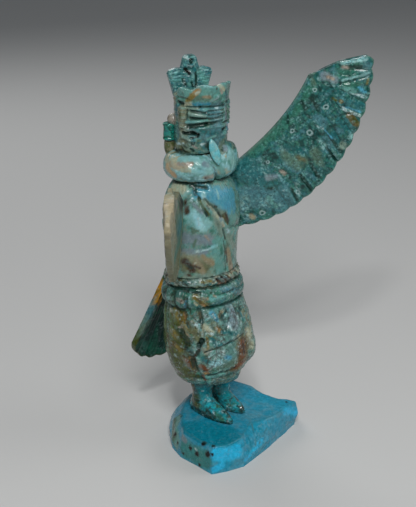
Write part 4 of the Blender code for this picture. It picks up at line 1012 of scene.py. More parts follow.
leftPaint = (
    ("teal", 244, 166, 260, 180, 14, 0.3), ("tealGreen", 252, 152, 290, 120, 5, 0.5),
    ("tealGreen", 295, 112, 312, 86, 4, 0.5), ("greyBlue", 246, 196, 285, 200, 12, 0.4),
    ("tealGreen", 340, 72, 356, 66, 6, 0.5), ("lace", 243, 200, 246, 215, 5, 0.8),
    ("lace", 262, 160, 266, 172, 3, 0.8), ("lace", 276, 165, 281, 178, 3, 0.8),
    ("lace", 284, 150, 292, 160, 4, 0.8), ("lace", 320, 142, 326, 150, 3, 0.7),
    ("lace", 332, 154, 336, 159, 3, 0.7), ("lace", 293, 128, 293, 132, 2.2, 0.7),
    ("lace", 262, 200, 268, 206, 3, 0.8), ("lace", 296, 182, 300, 195, 2.2, 0.7),
    ("lace", 276, 206, 284, 204, 1.6, 0.6), ("mint", 269, 198, 276, 206, 2.4, 0.6),
    ("violetGrey", 268, 178, 276, 176, 3, 0.6), ("pinkish", 281, 171, 284, 173, 2, 0.6),
    ("greyGreen", 285, 155, 298, 165, 5, 0.7), ("greyGreen", 314, 152, 320, 162, 5, 0.5),
    ("greyGreen", 297, 158, 305, 160, 4, 0.6), ("oliveBeige", 299, 158, 304, 160, 2, 0.8),
    ("wingTeal", 312, 170, 326, 174, 4, 0.5), ("wingTeal", 286, 146, 300, 150, 3, 0.6),
    ("greenDeep", 302, 102, 306, 108, 2.2, 0.6), ("greenDeep", 312, 98, 318, 110, 2.6, 0.6),
    ("greenDeep", 288, 116, 288, 123, 1.4, 0.6), ("greenDeep", 308, 116, 310, 117, 1.2, 0.6),
    ("greenDeep", 300, 176, 311, 190, 2, 0.5), ("greenDeep", 292, 190, 297, 200, 1.6, 0.5),
    ("greenDeep", 311, 165, 318, 177, 1.9, 0.5), ("greenDeep", 329, 150, 335, 160, 1.2, 0.5),
    ("greenDeep", 268, 188, 274, 188, 1.3, 0.6), ("beige", 251, 216, 253, 217, 2.4, 0.7),
    ("wingTeal", 322, 97, 328, 104, 4.2, 0.35), ("greyBlue", 317, 118, 323, 123, 4.2, 0.35),
    ("white", 316, 125, 323, 129, 1.1, 0.4), ("teal", 338, 120, 351, 131, 2.8, 0.3),
    ("teal", 334, 134, 340, 145, 3.6, 0.3), ("greenDeep", 328, 134, 341, 152, 1.6, 0.5),
    ("sky", 325, 130, 332, 138, 0.9, 0.5), ("sage", 343, 146, 343, 146, 4.4, 0.3),
    ("paleMint", 350, 137, 353, 135, 2.6, 0.4), ("khaki", 350, 115, 357, 124, 3.6, 0.3),
    # The white streak on this line and the sky streak on the next are a painted highlight along a raised
    # feather edge
    ("olive", 354, 119, 357, 122, 1.4, 0.6), ("white", 342, 108, 360, 116, 1.7, 0.4),
    ("sky", 346, 107, 360, 112, 1, 0.5), ("teal", 355, 103, 363, 106, 3, 0.4),
    ("teal", 340, 101, 350, 102, 3, 0.5), ("ochre", 341, 101, 341, 101, 1.9, 0.4),
    ("cream", 341, 101, 341, 101, 0.8, 0.4), ("olive", 333, 98, 336, 100, 1.5, 0.6),
    # The white streak at the start of this line is a painted highlight
    ("white", 352, 93, 365, 97, 1.5, 0.45), ("sky", 358, 86, 365, 92, 1.6, 0.6),
    ("mint", 346, 88, 354, 92, 3, 0.5), ("tealGreen", 345, 84, 358, 84, 3, 0.5),
    # The pale mint streak on this line is a painted highlight near the tip
    ("ochre", 368, 79, 367, 84, 1.1, 0.6), ("paleMint", 343, 80, 367, 74, 1.6, 0.5),
    ("lace", 363, 64, 367, 75, 3.2, 0.7), ("paleMint", 342, 63, 366, 59, 2, 0.5),
    ("pinkish", 343, 67, 348, 67, 2, 0.6), ("greenDeep", 350, 66, 361, 67, 2.4, 0.6),
    ("violetGrey", 324, 75, 334, 80, 4, 0.6), ("pinkish", 328, 77, 333, 79, 1.6, 0.6),
    ("lace", 318, 78, 322, 82, 1.5, 0.5), ("lace", 326, 84, 334, 86, 1.6, 0.5),
    ("wingTeal", 326, 89, 338, 92, 2.6, 0.6), ("greyGreen", 314, 84, 312, 80, 2.2, 0.6),
)
leftCuts = (
    (-0.2, 341, 84, 355, 80, 1.6), (-0.25, 355, 80, 368, 76, 1.6), (0.08, 343, 80, 366, 72, 2),
    (0.15, 342, 108, 360, 116, 1.4), (-0.25, 336, 117, 350, 113, 1.2), (-0.25, 313, 112, 333, 92, 1.4),
    (-0.3, 300, 175, 313, 190, 1.6), (-0.3, 291, 189, 298, 202, 1.6), (-0.3, 310, 163, 319, 178, 1.6),
    (0.2, 284, 186, 292, 198, 4), (0.2, 304, 172, 312, 184, 4), (0.2, 316, 156, 326, 170, 4.5),
    (-0.3, 326, 148, 337, 162, 1.2),
)
leftRings = (
    (309.5, 132.5, 3.4), (326, 107, 3), (262, 212.5, 3.2), (298, 192, 2.6), (292, 131, 2.4),
    (284, 190, 1.8), (315, 90, 2.4), (268, 162, 2),
)


def wingPose(way):
    back = 0 if way["side"] > 0 else 180
    place = around(wing["turn"] + back, wing["reach"], cordTop + wing["height"])
    return place, (90, -way["lift"], back - way["side"] * way["sweep"])


def wingGrid(worn):
    lead, trail = wingEdges()
    lines, wrist = wing["feathers"] * wing["lines"], wing["wristShare"]
    where = np.append(np.arange(lines) / lines, 0.998)
    start, end = along(lead, where / wrist), along(trail, where)
    start = start + (trail[-1] - start) * 0.14 * np.maximum(0, (where - wrist) / (1 - wrist))[:, None]
    across = (end - start) / np.linalg.norm(end - start, axis=1, keepdims=True)
    part = (where * wing["feathers"]) % 1.0
    reach = worn * wing["scallop"] * (0.6 + 0.4 * smooth(0.35, 0.65, where))
    end = end + across * (reach * np.sin(math.pi * part))[:, None]
    row, part, where = np.linspace(0, 1, wing["rows"])[None, :], part[:, None], where[:, None]
    thick = wing["root"] + (wing["tip"] - wing["root"]) * smooth(0.05, 0.55, where)
    thick = thick * (1 - 0.45 * fade(0, 0.15, row) - 0.4 * smooth(0.5, 1.0, row))
    long = smooth(0.42, 0.52, row)
    step = worn * wing["step"] * (0.5 - part) * long
    covert = wing["covert"] * (1 - long) * smooth(0, 0.09, row)
    # A middle tier of shorter feathers with round ends lies over the long ones
    shifted = (part + 0.5) % 1.0
    tierEnd = wing["tierEnd"] - 0.07 * (2 * shifted - 1) ** 2
    tier = wing["tier"] * fade(tierEnd - 0.012, tierEnd + 0.012, row)
    tier = tier - wing["tierGroove"] * hump(shifted, 0.0, 0.1) * fade(0.6, 0.66, row)
    tier = tier * long * smooth(0.25, 0.5, where)
    begin = 0.62 - 0.14 * smooth(0.35, 0.6, where) + 0.05 * np.sin(9 * math.pi * where)
    valley = np.maximum(hump(part, 0.0, 0.16), hump(part, 1.0, 0.16)) * smooth(begin, begin + 0.2, row)
    crown = wing["crown"] * (1 - (2 * part - 1) ** 2) * long
    shaft = wing["shaft"] * hump(part, 0.5, 0.09) * smooth(0.6, 0.7, row)
    top = (thick + step + covert) / 2 + tier + crown + shaft - worn * wing["valley"] * valley
    flat = start[:, None, :] + (end - start)[:, None, :] * row[..., None]
    bow = wing["bow"] * smooth(0.86, 1.0, where) * np.sin(math.pi * row)
    flat = flat + bow[..., None] * np.array([0.35, 0.94])
    fray = 0.3 * frayed(np.concatenate([flat, 0 * flat[..., :1]], axis=-1))
    for depth, x, y, u, v, half in wingCuts:
        top = top + depth * strokeShare(flat, (x, y), (u, v), half, 0.7, fray)
    front = np.concatenate([flat, top[..., None]], axis=-1)
    calm = smooth(0, 0.03, row) * fade(0.985, 1, row)
    lumps = wing["lump"] * (grain(front, 3.3) + 0.5 * grain(front + 5, 1.1)) * calm
    # The valleys between feathers count a little deeper, so they get more painted shade
    hollow = hollows(top + lumps, (4, 2), wrap=False) + 0.03 * valley
    front[..., 2] += lumps
    back = front * np.array([1, 1, -1])

    def edgeOf(line, outwards):      # a few points swing from face to face round a thin edge
        swing = np.linspace(0, math.pi, wing["edgePoints"] + 2)[1:-1][None, :]
        side = line[:, None, :2] + (wing["edge"] * np.sin(swing))[..., None] * outwards[:, None, :]
        return np.concatenate([side, (line[:, 2:] * np.cos(swing))[..., None]], axis=-1)

    trailing, leading = edgeOf(front[:, -1], across * 0.5), edgeOf(back[:, 0], -across * 0.5)
    grid = np.concatenate([front, trailing, back[:, ::-1], leading], axis=1)
    rimmed = np.maximum(0.35 * fade(0.015, 0.04, row) + 0 * where, 0.6 * smooth(0.98, 1.0, row))
    ones = np.ones((len(where), wing["edgePoints"]))
    paler = np.linspace(1.0, 0.3, wing["edgePoints"])[None, :] * ones
    hollow = np.concatenate([hollow, 0 * ones, hollow[:, ::-1], 0 * ones], axis=1)
    return grid, hollow, np.concatenate([rimmed, 0.6 * ones, rimmed[:, ::-1], paler], axis=1)


def makeWing(name, node, way, look, marks):
    grid, hollow, rimmed = wingGrid(way["worn"])
    place, rotation = wingPose(way)
    piece = stoneSkin(name, grid, hollow, look, marks, (0, 1), (place, rotation), way["sharp"], rimmed)
    # Cut off upright where it is let into the torso
    slope = math.radians(way["lift"])
    outward = Vector(turned(rotation) @ (math.cos(slope), -math.sin(slope), 0))
    bm = bmesh.new()
    bm.from_mesh(piece.data)
    every = bm.verts[:] + bm.edges[:] + bm.faces[:]
    start = (place - outward * wing["setIn"]) * mm
    cut = bmesh.ops.bisect_plane(bm, geom=every, plane_co=start, plane_no=outward, clear_inner=True)
    edge = [item for item in cut["geom_cut"] if isinstance(item, bmesh.types.BMEdge)]
    bmesh.ops.contextual_create(bm, geom=edge)
    bm.to_mesh(piece.data)
    bm.free()
    finished(piece, node, node + "_stone", look)


onWing = inFrame(wingPose(wing["left"]), [0, 1])
wingCuts = list(fromPhoto("left_wing", leftCuts, onWing))
wingSolid = solidTree("left_wing")
leftLook = {
    "grounds": ("wingDark", "wingTeal", "tealGreen", "wingTeal", "teal", "greyBlue"), "rim": "sage",
    "crumb": 0.55, "crumbSize": 0.7, "crumbColour": "paleMint", "specks": 0.8, "specksColour": "wingDark",
    "mottle": 0.35, "dirt": 0.5, "dirtDepth": 0.18, "crown": 0.2, "rings": spotsOn(wingSolid, leftRings),
}
leftMarks = fromPhoto("left_wing", leftPaint, onWing)
makeWing("leftWingStone", "left_wing", wing["left"], leftLook, leftMarks)

rightPaint = (                       # out of focus in the photograph, so in mm on the wing itself
    ("sand", 46, 8, 44, 0, 9, 0.8), ("stone", 42, -3, 34, -12, 6, 0.8), ("paleMint", 0, 7, 14, 8, 2.2, 0.5),
    ("pinkish", 12, 5, 32, 5, 0.9, 0.6), ("brown", 2, 2.8, 13, 2.4, 1.5, 0.8),
    ("black", 3, 2.8, 6, 2.6, 0.7, 0.9), ("greyGreen", 10, 0.4, 26, 0.6, 1, 0.8),
    ("teal", 8, -1.8, 22, -1.8, 1.7, 0.8), ("tealGreen", 12, -5, 32, -5.6, 1.7, 0.8),
    ("oliveBeige", 10, -8.6, 34, -9, 2.5, 0.6),
)
rightLook = {
    "grounds": ("greyGreen", "beige", "oliveBeige", "tealGreen"), "rim": "beige", "crumb": 0.2,
    "specks": 0.25, "mottle": 0.15, "dirt": 0.5, "dirtDepth": 0.3, "polish": (0.4, 0.6), "coat": 0.0,
    "bump": 0.08,
}
makeWing("rightWingStone", "right_wing", wing["right"], rightLook, rightPaint)


# Tail, in its own frame: hanging down -z, its back at +y
tail = {
    "length": 28.4, "sideLength": 21.5, "topWidth": 9.0, "fan": 22, "tilt": 18, "thick": 1.9, "cup": 1.4,
    "feathers": 7, "lines": 18, "rows": 70, "step": 0.12, "rib": 0.3, "lump": 0.05, "end": 0.12,
}


def tailGrid():
    count = tail["feathers"] * tail["lines"]
    share = np.append(np.arange(count) / count, 1.0)[:, None]
    row = np.linspace(0, 1, tail["rows"])[None, :]
    across, part = 2 * share - 1, (share * tail["feathers"]) % 1.0
    aside = np.abs(across)
    lean = np.radians(tail["fan"]) * across
    length = tail["length"] + (tail["sideLength"] - tail["length"]) * across ** 2
    length = (length + wing["scallop"] * np.sin(math.pi * part)) * row
    x = across * tail["topWidth"] / 2 + length * np.sin(lean)
    y = -tail["cup"] * across ** 2 * row
    z = -length * np.cos(lean)
    half = tail["thick"] / 2 * (1 - 0.3 * row) + tail["step"] * (0.5 - part) * row
    # The outermost feathers stand up as round ribs, the ones between lie lower with fine ridges
    ridges = 0.02 * waves(3, 360 * part) * fade(0.62, 0.7, aside) * smooth(0.1, 0.3, row)
    ridges = ridges - 0.08 * (2 * part - 1) ** 4 * smooth(0.1, 0.4, row)
    rib = tail["rib"] * smooth(0.68, 0.76, aside) * smooth(0.05, 0.3, row)
    front = joined(x, y - half - ridges - rib, z)
    back = joined(x, y + half + ridges, z)
    lumps = tail["lump"] * grain(front, 2.2)
    front[..., 1] -= lumps
    back[..., 1] += lumps
    middle = (front + back) / 2
    tip, top = middle[:, -1:] - (0, 0, tail["end"]), middle[:, :1] + (0, 0, tail["end"])
    grid = np.concatenate([front, tip, back[:, ::-1], top], axis=1)
    hollow = hollows(half + ridges + rib + lumps, (3, 2), wrap=False)
    edge, one = smooth(0.975, 1.0, row) + 0 * share, np.ones((len(share), 1))
    hollow = np.concatenate([hollow, 0 * one, hollow[:, ::-1], 0 * one], axis=1)
    return grid, hollow, np.concatenate([edge, one, edge[:, ::-1], 0 * one], axis=1)


tailPaint = (
    ("amber", 160, 284, 155, 300, 6.5, 0.25), ("orange", 155, 303, 154, 305, 2, 0.7),
    ("olive", 161, 293, 159, 298, 1.6, 0.5), ("greyGreen", 153, 308, 140, 332, 5, 0.4),
    # The grey-blue patch on this line and the white spot on the next are a painted glint on the rib
    ("sage", 151, 312, 141, 330, 3, 0.7), ("greyBlue", 153, 306, 149, 316, 4, 0.5),
    ("white", 154, 308, 153, 311, 1.6, 0.6), ("olive", 136, 333, 134, 342, 2.4, 0.5),
    # The deep green strokes inside the rib and beside the kilt are painted shade
    ("greenDeep", 157, 316, 146, 340, 4.5, 0.5), ("greenDeep", 161, 320, 162, 342, 4, 0.8),
    ("tealGreen", 142, 340, 146, 347, 3, 0.6), ("tailGreen", 148, 348, 164, 350, 2.4, 0.6),
)
tailLook = {
    "grounds": ("greenDeep", "tailGreen", "greenDeep"), "cloud": 2.4, "rim": "olive", "crumb": 0.3,
    "specks": 0.5, "specksColour": "greenDeep", "dirt": 0.6, "crown": 0.1, "coat": 0.0, "shine": 0.2,
    "polish": (0.3, 0.5),
}
tailPose = (around(90, girth["sash"][1] - 0.4 * tail["thick"], sashTop), (tail["tilt"], 0, 0))
tailPoints, tailHollow, tailRim = tailGrid()
marks = list(fromPhoto("tail_fan", tailPaint, inFrame(tailPose, [0, 2])))
marks = [(name, -x, z, -u, w, half, soft) for name, x, z, u, w, half, soft in marks] + marks
tailFan = stoneSkin("tailStone", tailPoints, tailHollow, tailLook, marks, (0, 2), tailPose, 50, tailRim)
finished(tailFan, "tail_fan", "tail_stone", tailLook)


# Crest, in its own frame: the bird upright over its foot, facing -y
crest = {
    "spread": 11.6, "foot": 8.2, "height": 7.0, "thick": 1.9, "reach": 7.1, "sink": 0.5, "neck": 4.7,
    "head": (3.2, 2.95), "tipCut": 1.3, "corner": 0.5, "neckDip": 0.2, "rows": 130, "columns": 150,
    "bird": 0.3, "feather": 0.09, "featherLine": 0.85, "groove": 0.4, "eye": (0.1, 8.5),
    "beak": (-0.8, 6.5), "beakPit": 0.5,
}


def crestGrid():
    (headWide, headTall), tall = crest["head"], crest["height"]
    wide, neck = crest["spread"] / 2, crest["neck"] / 2
    stations = (                     # share up the outline, half-width, heights at the edge and middle
        (0, crest["foot"] / 2, 0, 0), (0.5, wide, tall - crest["tipCut"], 5.2),
        (0.58, wide - crest["corner"], tall - crest["corner"], 5.9),
        (0.66, neck + crest["tipCut"], tall, 6.5), (0.73, neck, tall - crest["neckDip"], 6.9),
        (0.94, headWide / 2, tall + 0.75 * headTall, 8.95),
        (1.0, 0.3 * headWide, tall + headTall, tall + headTall),
    )
    key, *columns = zip(*stations)
    step = np.linspace(0, 1, crest["rows"])
    wide, edge, middle = (np.interp(step, key, values)[:, None] for values in columns)
    u = np.sin(np.linspace(-1, 1, crest["columns"]) * math.pi / 2)[None, :]
    x, z = wide * u, middle + (edge - middle) * np.abs(u) ** 2.5
    bevel = 1 - 0.4 * smooth(0.9, 1.0, np.abs(u)) - 0.4 * smooth(0.96, 1.0, step[:, None])
    half = crest["thick"] / 2 * bevel
    onBird = fade(1.2, 2.0, np.abs(x))
    feathers = smooth(0.1, 0.9, waves(1, 360 * (z / crest["featherLine"] - 0.09 * np.abs(x))))
    bird = crest["bird"] * onBird * smooth(1.5, 3.0, z)
    bird = bird - crest["feather"] * feathers * (1 - onBird) * fade(6.4, 7.0, z)
    groove = crest["groove"] * hump(x, 1.25, 0.5) * smooth(0.5, 1.5, z) * fade(5.0, 6.2, z)
    eyeAway = np.hypot(x - crest["eye"][0], z - crest["eye"][1])
    eye = 0.18 * hump(eyeAway, 0.95, 0.35) - 0.3 * hump(eyeAway, 0.45, 0.3)
    beakAway = np.hypot(0.8 * (x - crest["beak"][0]), z - crest["beak"][1])
    beak = 0.35 * np.exp(-2 * x ** 2 - 2 * (z - 7.5) ** 2) - crest["beakPit"] * hump(beakAway, 0, 0.9)
    relief = bird - groove + eye + beak
    front = joined(x, -half - relief, z)
    front[..., 1] -= 0.05 * grain(front, 1.4) * bevel
    back = joined(x, half + bird, z)
    hollow = [hollows(half + depth, (3, 3), wrap=False) for depth in (relief, bird)]
    grid = np.concatenate([front, back[:, ::-1]], axis=1)
    return grid, np.concatenate([hollow[0], hollow[1][:, ::-1]], axis=1)


crestPaint = (
    # The white on the bird's head and brow are painted highlights
    ("white", 185, 57, 187, 58, 1.4, 0.5), ("greenDeep", 190, 59, 191, 62, 2, 0.4),
    ("white", 187, 66, 192, 67, 1.3, 0.5), ("black", 185, 69, 189, 73, 1.9, 0.4),
    ("greenDeep", 196, 72, 196, 86, 1.6, 0.5), ("paleMint", 172, 78, 180, 76, 0.9, 0.5),
    ("paleMint", 171, 74, 179, 71, 1, 0.6), ("greenDeep", 183, 80, 185, 84, 1.8, 0.6),
    ("greenDeep", 191, 82, 193, 86, 1.4, 0.6), ("mint", 199, 72, 208, 84, 3, 0.6),
    ("paleMint", 200, 68, 208, 70, 1, 0.5), ("white", 188, 76, 188, 76, 0.9, 0.6),
)
crestLook = {
    "grounds": ("teal", "greyBlue", "mint", "greyBlue"), "cloud": 1.6, "fray": 0.5, "crumb": 0.6,
    "crumbSize": 0.55, "specks": 0.9, "speckSize": 0.7, "specksColour": "greenDeep", "mottle": 0.3,
    "dirt": 0.85, "dirtDepth": 0.12, "crown": 0.35,
}
crestPlace = around(facing["face"] + 180, crest["reach"], brow - crest["sink"])
crestPose = (crestPlace, (0, 0, facing["face"] + 90))
marks = fromPhoto("bird_crest", crestPaint, inFrame(crestPose, [0, 2]))
crestStone = stoneSkin("crestStone", *crestGrid(), crestLook, marks, (0, 2), crestPose, 50)
finished(crestStone, "bird_crest", "crest_stone", crestLook)


# Chin feather: a leaf with a middle ridge
leaf = {
    "height": 6.4, "width": 2.6, "thick": 1.3, "standOff": 1.1, "lean": -14, "taper": 1.5, "slant": 0.2,
    "ridge": 0.14, "barb": 0.05, "rows": 90, "columns": 72,
    "look": {
        "grounds": ("leafBlue", "paleMint", "leafBlue"), "tint": 0.1, "crumb": 0.2, "specks": 0.1,
        "mottle": 0.12, "dirt": 0.5, "dirtColour": "teal", "dirtDepth": 0.1,
    },
}


def leafGrid():
    tilt = np.radians(np.linspace(-88, 88, leaf["rows"]))[:, None]
    angle = turns(leaf["columns"])
    up = np.sin(tilt)
    across = np.cos(tilt) ** leaf["taper"] * np.sin(angle)
    barbs = waves(1, 360 * (4.5 * up - 1.6 * np.abs(across))) * smooth(0.1, 0.3, np.abs(across))
    swell = 1 + leaf["ridge"] * hump(across, 0, 0.22) + leaf["barb"] * barbs
    through = np.cos(tilt) * np.cos(angle) * swell
    sideways = across * leaf["width"] / 2 - leaf["slant"] * up * leaf["height"] / 2
    grid = joined(through * leaf["thick"] / 2, sideways, up * leaf["height"] / 2)
    return grid, hollows(np.abs(through), (3, 3)) * 0.6


leafPlace = around(facing["parting"], girth["mask"][1] + leaf["standOff"], ruffTop + 0.15 * leaf["height"])
leafPose = (leafPlace, (0, leaf["lean"], facing["parting"]))
chinFeather = stoneSkin("chinFeatherStone", *leafGrid(), leaf["look"], pose=leafPose)
finished(chinFeather, "chin_feather", "feather_stone", leaf["look"])


# Ear beads with a lip at each end, and a drop under the right one
def turnedGrid(profile, side, z, waviness):
    line = np.array(profile)
    place = around(facing["face"] + side * facing["ears"], girth["mask"][0] + 0.66 * ears["radius"], z)
    share = np.linspace(0, 1, ears["rows"])
    radius, z = (column[:, None] for column in along(line, share).T)
    angle = turns(ears["columns"])
    reach = radius + ears["wave"] * np.sin(waviness * angle + (waviness - 1) * z)
    return joined(reach * np.cos(angle), reach * np.sin(angle), z) + np.array(place), hollows(reach, (3, 2))


radius, tall = ears["radius"], ears["height"]
lip = 0.14 * tall
beadEnd = ((0.3, 0), (0.86, 0), (1, -0.35), (1, -1), (0.93, -1.3))     # shares of the radius and of the lip
beadEnd = [(share * radius, down * lip) for share, down in beadEnd]
beadProfile = beadEnd + [(reach, -tall - z) for reach, z in reversed(beadEnd)]
share = np.linspace(0, 1, 30)
dropWidth = ears["dropRadius"] * np.sin(math.pi * (0.66 - 0.6 * share)) ** 0.55
dropProfile = joined(dropWidth, -share * ears["drop"])
beadLook = {
    "cloud": 1.6, "tint": 0.15, "crumb": 0.2, "specks": 0.3, "specksColour": "greenDeep", "dirt": 0.6,
    "dirtDepth": 0.12, "polish": (0.08, 0.2),
}
dropLook = {
    "grounds": ("olive", "oliveBeige", "beige"), "cloud": 1.6, "tint": 0.15, "crumb": 0.2, "specks": 0.3,
    "polish": (0.24, 0.44),
}
greenLook = {**beadLook, "grounds": ("beadGreen", "greenDeep", "beadGreen", "teal")}
blueLook = {**beadLook, "grounds": ("beadBlue", "sky", "beadBlue")}
underBead = -tall - figure["glueGap"]
trinkets = (                         # name, side, shift, profile, waves round it, look, node, slot, sharp
    ("rightEarBead", -1, 0, beadProfile, 3, greenLook, "right_ear_bead", "green_bead_stone", 40),
    ("leftEarBead", 1, 0, beadProfile, 3, blueLook, "left_ear_bead", "blue_bead_stone", 40),
    ("rightEarDrop", -1, underBead, dropProfile, 2, dropLook, "right_ear_drop", "drop_stone", 60),
)
for name, side, shift, profile, waviness, look, node, slot, sharp in trinkets:
    points, hollow = turnedGrid(profile, side, earHeight(side) - 0.55 * ears["lobe"] + shift, waviness)
    finished(stoneSkin(name, points, hollow, look, sharp=sharp), node, slot, look)


# Slab: broken flanks under a flat cut top
slab = {
    "height": 7.0, "wear": 0.45, "reach": 20.0, "around": 420, "levels": 44, "rings": 26,
    "nose": (-30, 0.06), "broken": -97, "rough": 0.16, "pitting": 0.09, "creases": 0.2, "dip": 0.05,
    "deep": ((-16.0, -2.5), (-12.4, -9.2), 5.0),
    # Shares of the height, and how far the flank has come there from the foot's edge to the top's
    "flank": ((0, 0.35, 0.7, 0.92, 1.0), (0.08, 0.0, 0.4, 0.9, 1.0)),
    "corners": (                     # bearing in degrees, reach of the foot and of the top as shares
        (48, 0.88, 0.805), (24, 0.8, 0.685), (3, 0.79, 0.58), (-13, 0.89, 0.62), (-22, 0.97, 0.68),
        (-26, 0.95, 0.79), (-31, 0.91, 0.865), (-42, 0.75, 0.73), (-62, 0.635, 0.62), (-86, 0.65, 0.53),
        (-106, 0.74, 0.505), (-124, 0.93, 0.795), (-137, 1.035, 1), (-146, 1.135, 1.06), (-160, 1, 0.98),
        (-176, 0.96, 0.91), (168, 0.91, 0.775), (148, 0.85, 0.695), (126, 0.835, 0.66), (104, 0.83, 0.685),
        (76, 0.86, 0.75),
    ),
}


def slabGrid():
    bearing, *reaches = np.array(slab["corners"]).T
    ways = np.cos(np.radians(bearing)), np.sin(np.radians(bearing))
    walk = np.linspace(0, len(bearing), slab["around"], endpoint=False)
    corner = np.arange(len(bearing) + 1)
    foot, top = (
        joined(*(np.interp(walk, corner, np.append(way * reach, way[0] * reach[0])) for way in ways))
        for reach in np.array(reaches) * slab["reach"]
    )
    share = np.linspace(0, 1, slab["levels"])[:, None]
    lean = np.interp(share, *slab["flank"])[..., None]
    flat = foot[None] + (top - foot)[None] * lean
    # The foot of the nose is worn round
    nose, worn = slab["nose"]
    nose = hump(turn(np.degrees(np.arctan2(foot[:, 1], foot[:, 0])), nose), 0, 20) * fade(0.0, 0.55, share)
    flat = flat * (1 - worn * nose[..., None])
    wear = slab["wear"] * (np.maximum(0, share - 0.92) / 0.08) ** 2
    outward = flat / np.linalg.norm(flat, axis=-1, keepdims=True)
    points = np.concatenate([flat, share[..., None] * slab["height"] + 0 * flat[..., :1]], axis=-1)
    rough = slab["rough"] * grain(points, 3.4, 4) + slab["pitting"] * grain(points + 3, 0.9)
    broken = hump(turn(np.degrees(np.arctan2(points[..., 1], points[..., 0])), slab["broken"]), 0, 26)
    rough = rough * (0.6 + 1.5 * broken) + slab["creases"] * broken * creased(points, 2.2)
    change = (rough - slab["rough"]) * smooth(0, 0.15, share) - wear
    points[..., :2] += outward * change[..., None]
    # The top runs in to the middle in rings, and dips a little
    inner = np.linspace(1, 0.03, slab["rings"])[1:, None]
    cover = points[-1] * inner[..., None]
    cover[..., 2] = slab["height"] - slab["dip"] * (1 + grain(cover, 4.0)) * smooth(1.0, 0.9, inner)
    return np.concatenate([points, cover]), hollows(np.concatenate([change, 0 * cover[..., 0]]), (4, 4))


slabPaint = (
    ("slabBlue", 250, 395, 284, 404, 10, 0.5), ("mint", 176, 420, 176, 442, 8, 0.3),
    ("slabTeal", 186, 450, 204, 460, 11, 0.3), ("greyGreen", 174, 420, 173, 438, 4, 0.5),
    ("cyan", 218, 455, 236, 452, 8, 0.3), ("cyan", 222, 466, 214, 470, 4, 0.4),
    ("slabBlue", 250, 430, 262, 426, 7, 0.4), ("deepTeal", 248, 436, 252, 446, 1.4, 0.8),
    ("deepTeal", 255, 430, 260, 438, 1.2, 0.8), ("cyan", 262, 440, 246, 460, 3, 0.5),
    ("cyan", 286, 411, 296, 413, 5, 0.8), ("slabBlue", 276, 422, 292, 418, 4, 0.5),
    # The white spot on the left flank and the violet-grey streak on its bevel are painted highlights
    ("white", 195, 449, 196, 450, 1.6, 0.5), ("violetGrey", 182, 437, 185, 441, 3.2, 0.5),
    ("deepTeal", 245, 426, 249, 452, 0.7, 0.6), ("greyBlue", 252, 424, 256, 446, 0.8, 0.6),
    ("deepTeal", 262, 424, 256, 440, 0.6, 0.6), ("sky", 256, 428, 262, 424, 0.8, 0.7),
    ("greyBlue", 267, 428, 259, 444, 0.8, 0.7), ("sky", 244, 434, 246, 446, 0.6, 0.7),
    ("deepTeal", 240, 448, 250, 440, 0.5, 0.7),
)
slabPits = (
    (175, 434.5, 2.2), (177.5, 442.5, 1.4), (181.5, 416, 1), (203.5, 443.5, 1.9), (213.5, 446, 1.5),
    (190, 448, 1.8), (196.5, 454, 2.2), (207.5, 454.5, 2.6), (212, 454.5, 1.3), (199.5, 465, 1.4),
    (182.5, 453.5, 1.2), (179.5, 414.5, 0.9), (288.5, 400, 0.9),
)
slabLook = {
    "grounds": ("slabBlue", "sky", "slabBlue"), "cloud": 4.5, "tint": 0.1, "fray": 0.5, "crumb": 0.12,
    "crumbSize": 0.8, "specks": 0.12, "mottle": 0.14, "dirt": 0.3, "dirtColour": "teal", "dirtDepth": 0.3,
    "crown": 0.0, "polish": (0.2, 0.42), "shine": 0.25, "coat": 0.15,
    "pits": spotsOn(solidTree("slab"), slabPits),
}
slabPoints, slabHollow = slabGrid()
deep = strokeShare(slabPoints[..., :2], *slab["deep"], 0.16, 0.3 * frayed(slabPoints))
deep = deep * smooth(slab["height"] - 0.7, slab["height"] - 0.4, slabPoints[..., 2])
marks, over = fromPhoto("slab", slabPaint), [("deepTeal", deep)]
slabStone = stoneSkin("slabStone", slabPoints, slabHollow, slabLook, marks, sharp=50, over=over)
finished(slabStone, "slab", "slab_stone", slabLook)


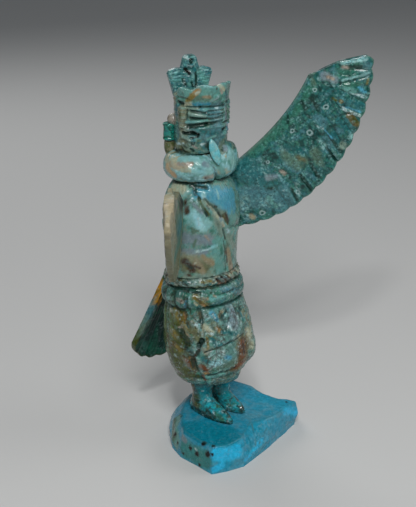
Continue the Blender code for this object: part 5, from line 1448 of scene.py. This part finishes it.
# Stage: pale floor, soft lights, and the camera at the photograph's place
studio = {
    "floorSize": 6.0, "floorColour": (0.6, 0.6, 0.59, 1.0), "floorRoughness": 0.9,
    "worldColour": (0.62, 0.66, 0.7, 1.0), "worldStrength": 0.2, "sensor": 24, "clipStart": 0.01,
    "lights": (                      # name, place in mm, size in m, power
        ("keyLight", (-230, -330, 420), 0.16, 1.45), ("fillLight", (300, -260, 260), 0.3, 0.35),
        ("backLight", (120, 380, 360), 0.3, 0.6), ("sparkLight", (-170, -150, 300), 0.03, 0.25),
    ),
}


def aimed(name, data, place):        # a light or camera that looks at the middle of the figure
    piece = bpy.data.objects.new(name, data)
    piece.location = Vector(place) * mm
    piece.rotation_euler = (Vector(photo["aim"]) - Vector(place)).to_track_quat("-Z", "Y").to_euler()
    bpy.context.scene.collection.objects.link(piece)
    return piece


def makeStage():
    scene, half = bpy.context.scene, studio["floorSize"] / 2
    mesh = bpy.data.meshes.new("floor")
    corners = [(x * half, y * half, 0) for x, y in ((-1, -1), (1, -1), (1, 1), (-1, 1))]
    mesh.from_pydata(corners, [], [(0, 1, 2, 3)])
    floor = bpy.data.objects.new("floor", mesh)
    scene.collection.objects.link(floor)
    paint = bpy.data.materials.new("floorPaint")
    paint.use_nodes = True
    paint.node_tree.nodes["Principled BSDF"].inputs["Base Color"].default_value = studio["floorColour"]
    paint.node_tree.nodes["Principled BSDF"].inputs["Roughness"].default_value = studio["floorRoughness"]
    mesh.materials.append(paint)
    scene.world = bpy.data.worlds.new("studio")
    scene.world.use_nodes = True
    background = scene.world.node_tree.nodes["Background"].inputs
    background["Color"].default_value = studio["worldColour"]
    background["Strength"].default_value = studio["worldStrength"]
    for name, place, size, power in studio["lights"]:
        light = bpy.data.lights.new(name, "AREA")
        light.shape, light.size, light.energy = "DISK", size, power
        aimed(name, light, place)
    camera = bpy.data.cameras.new("camera")
    camera.sensor_fit, camera.sensor_height = "VERTICAL", studio["sensor"]
    camera.lens = studio["sensor"] * photo["focalPixels"] / photo["height"]
    camera.clip_start = studio["clipStart"]
    scene.camera = aimed("camera", camera, photo["camera"])
    scene.view_settings.view_transform = "Standard"
    scene.view_settings.look = "None"


makeStage()
print("stage ready")
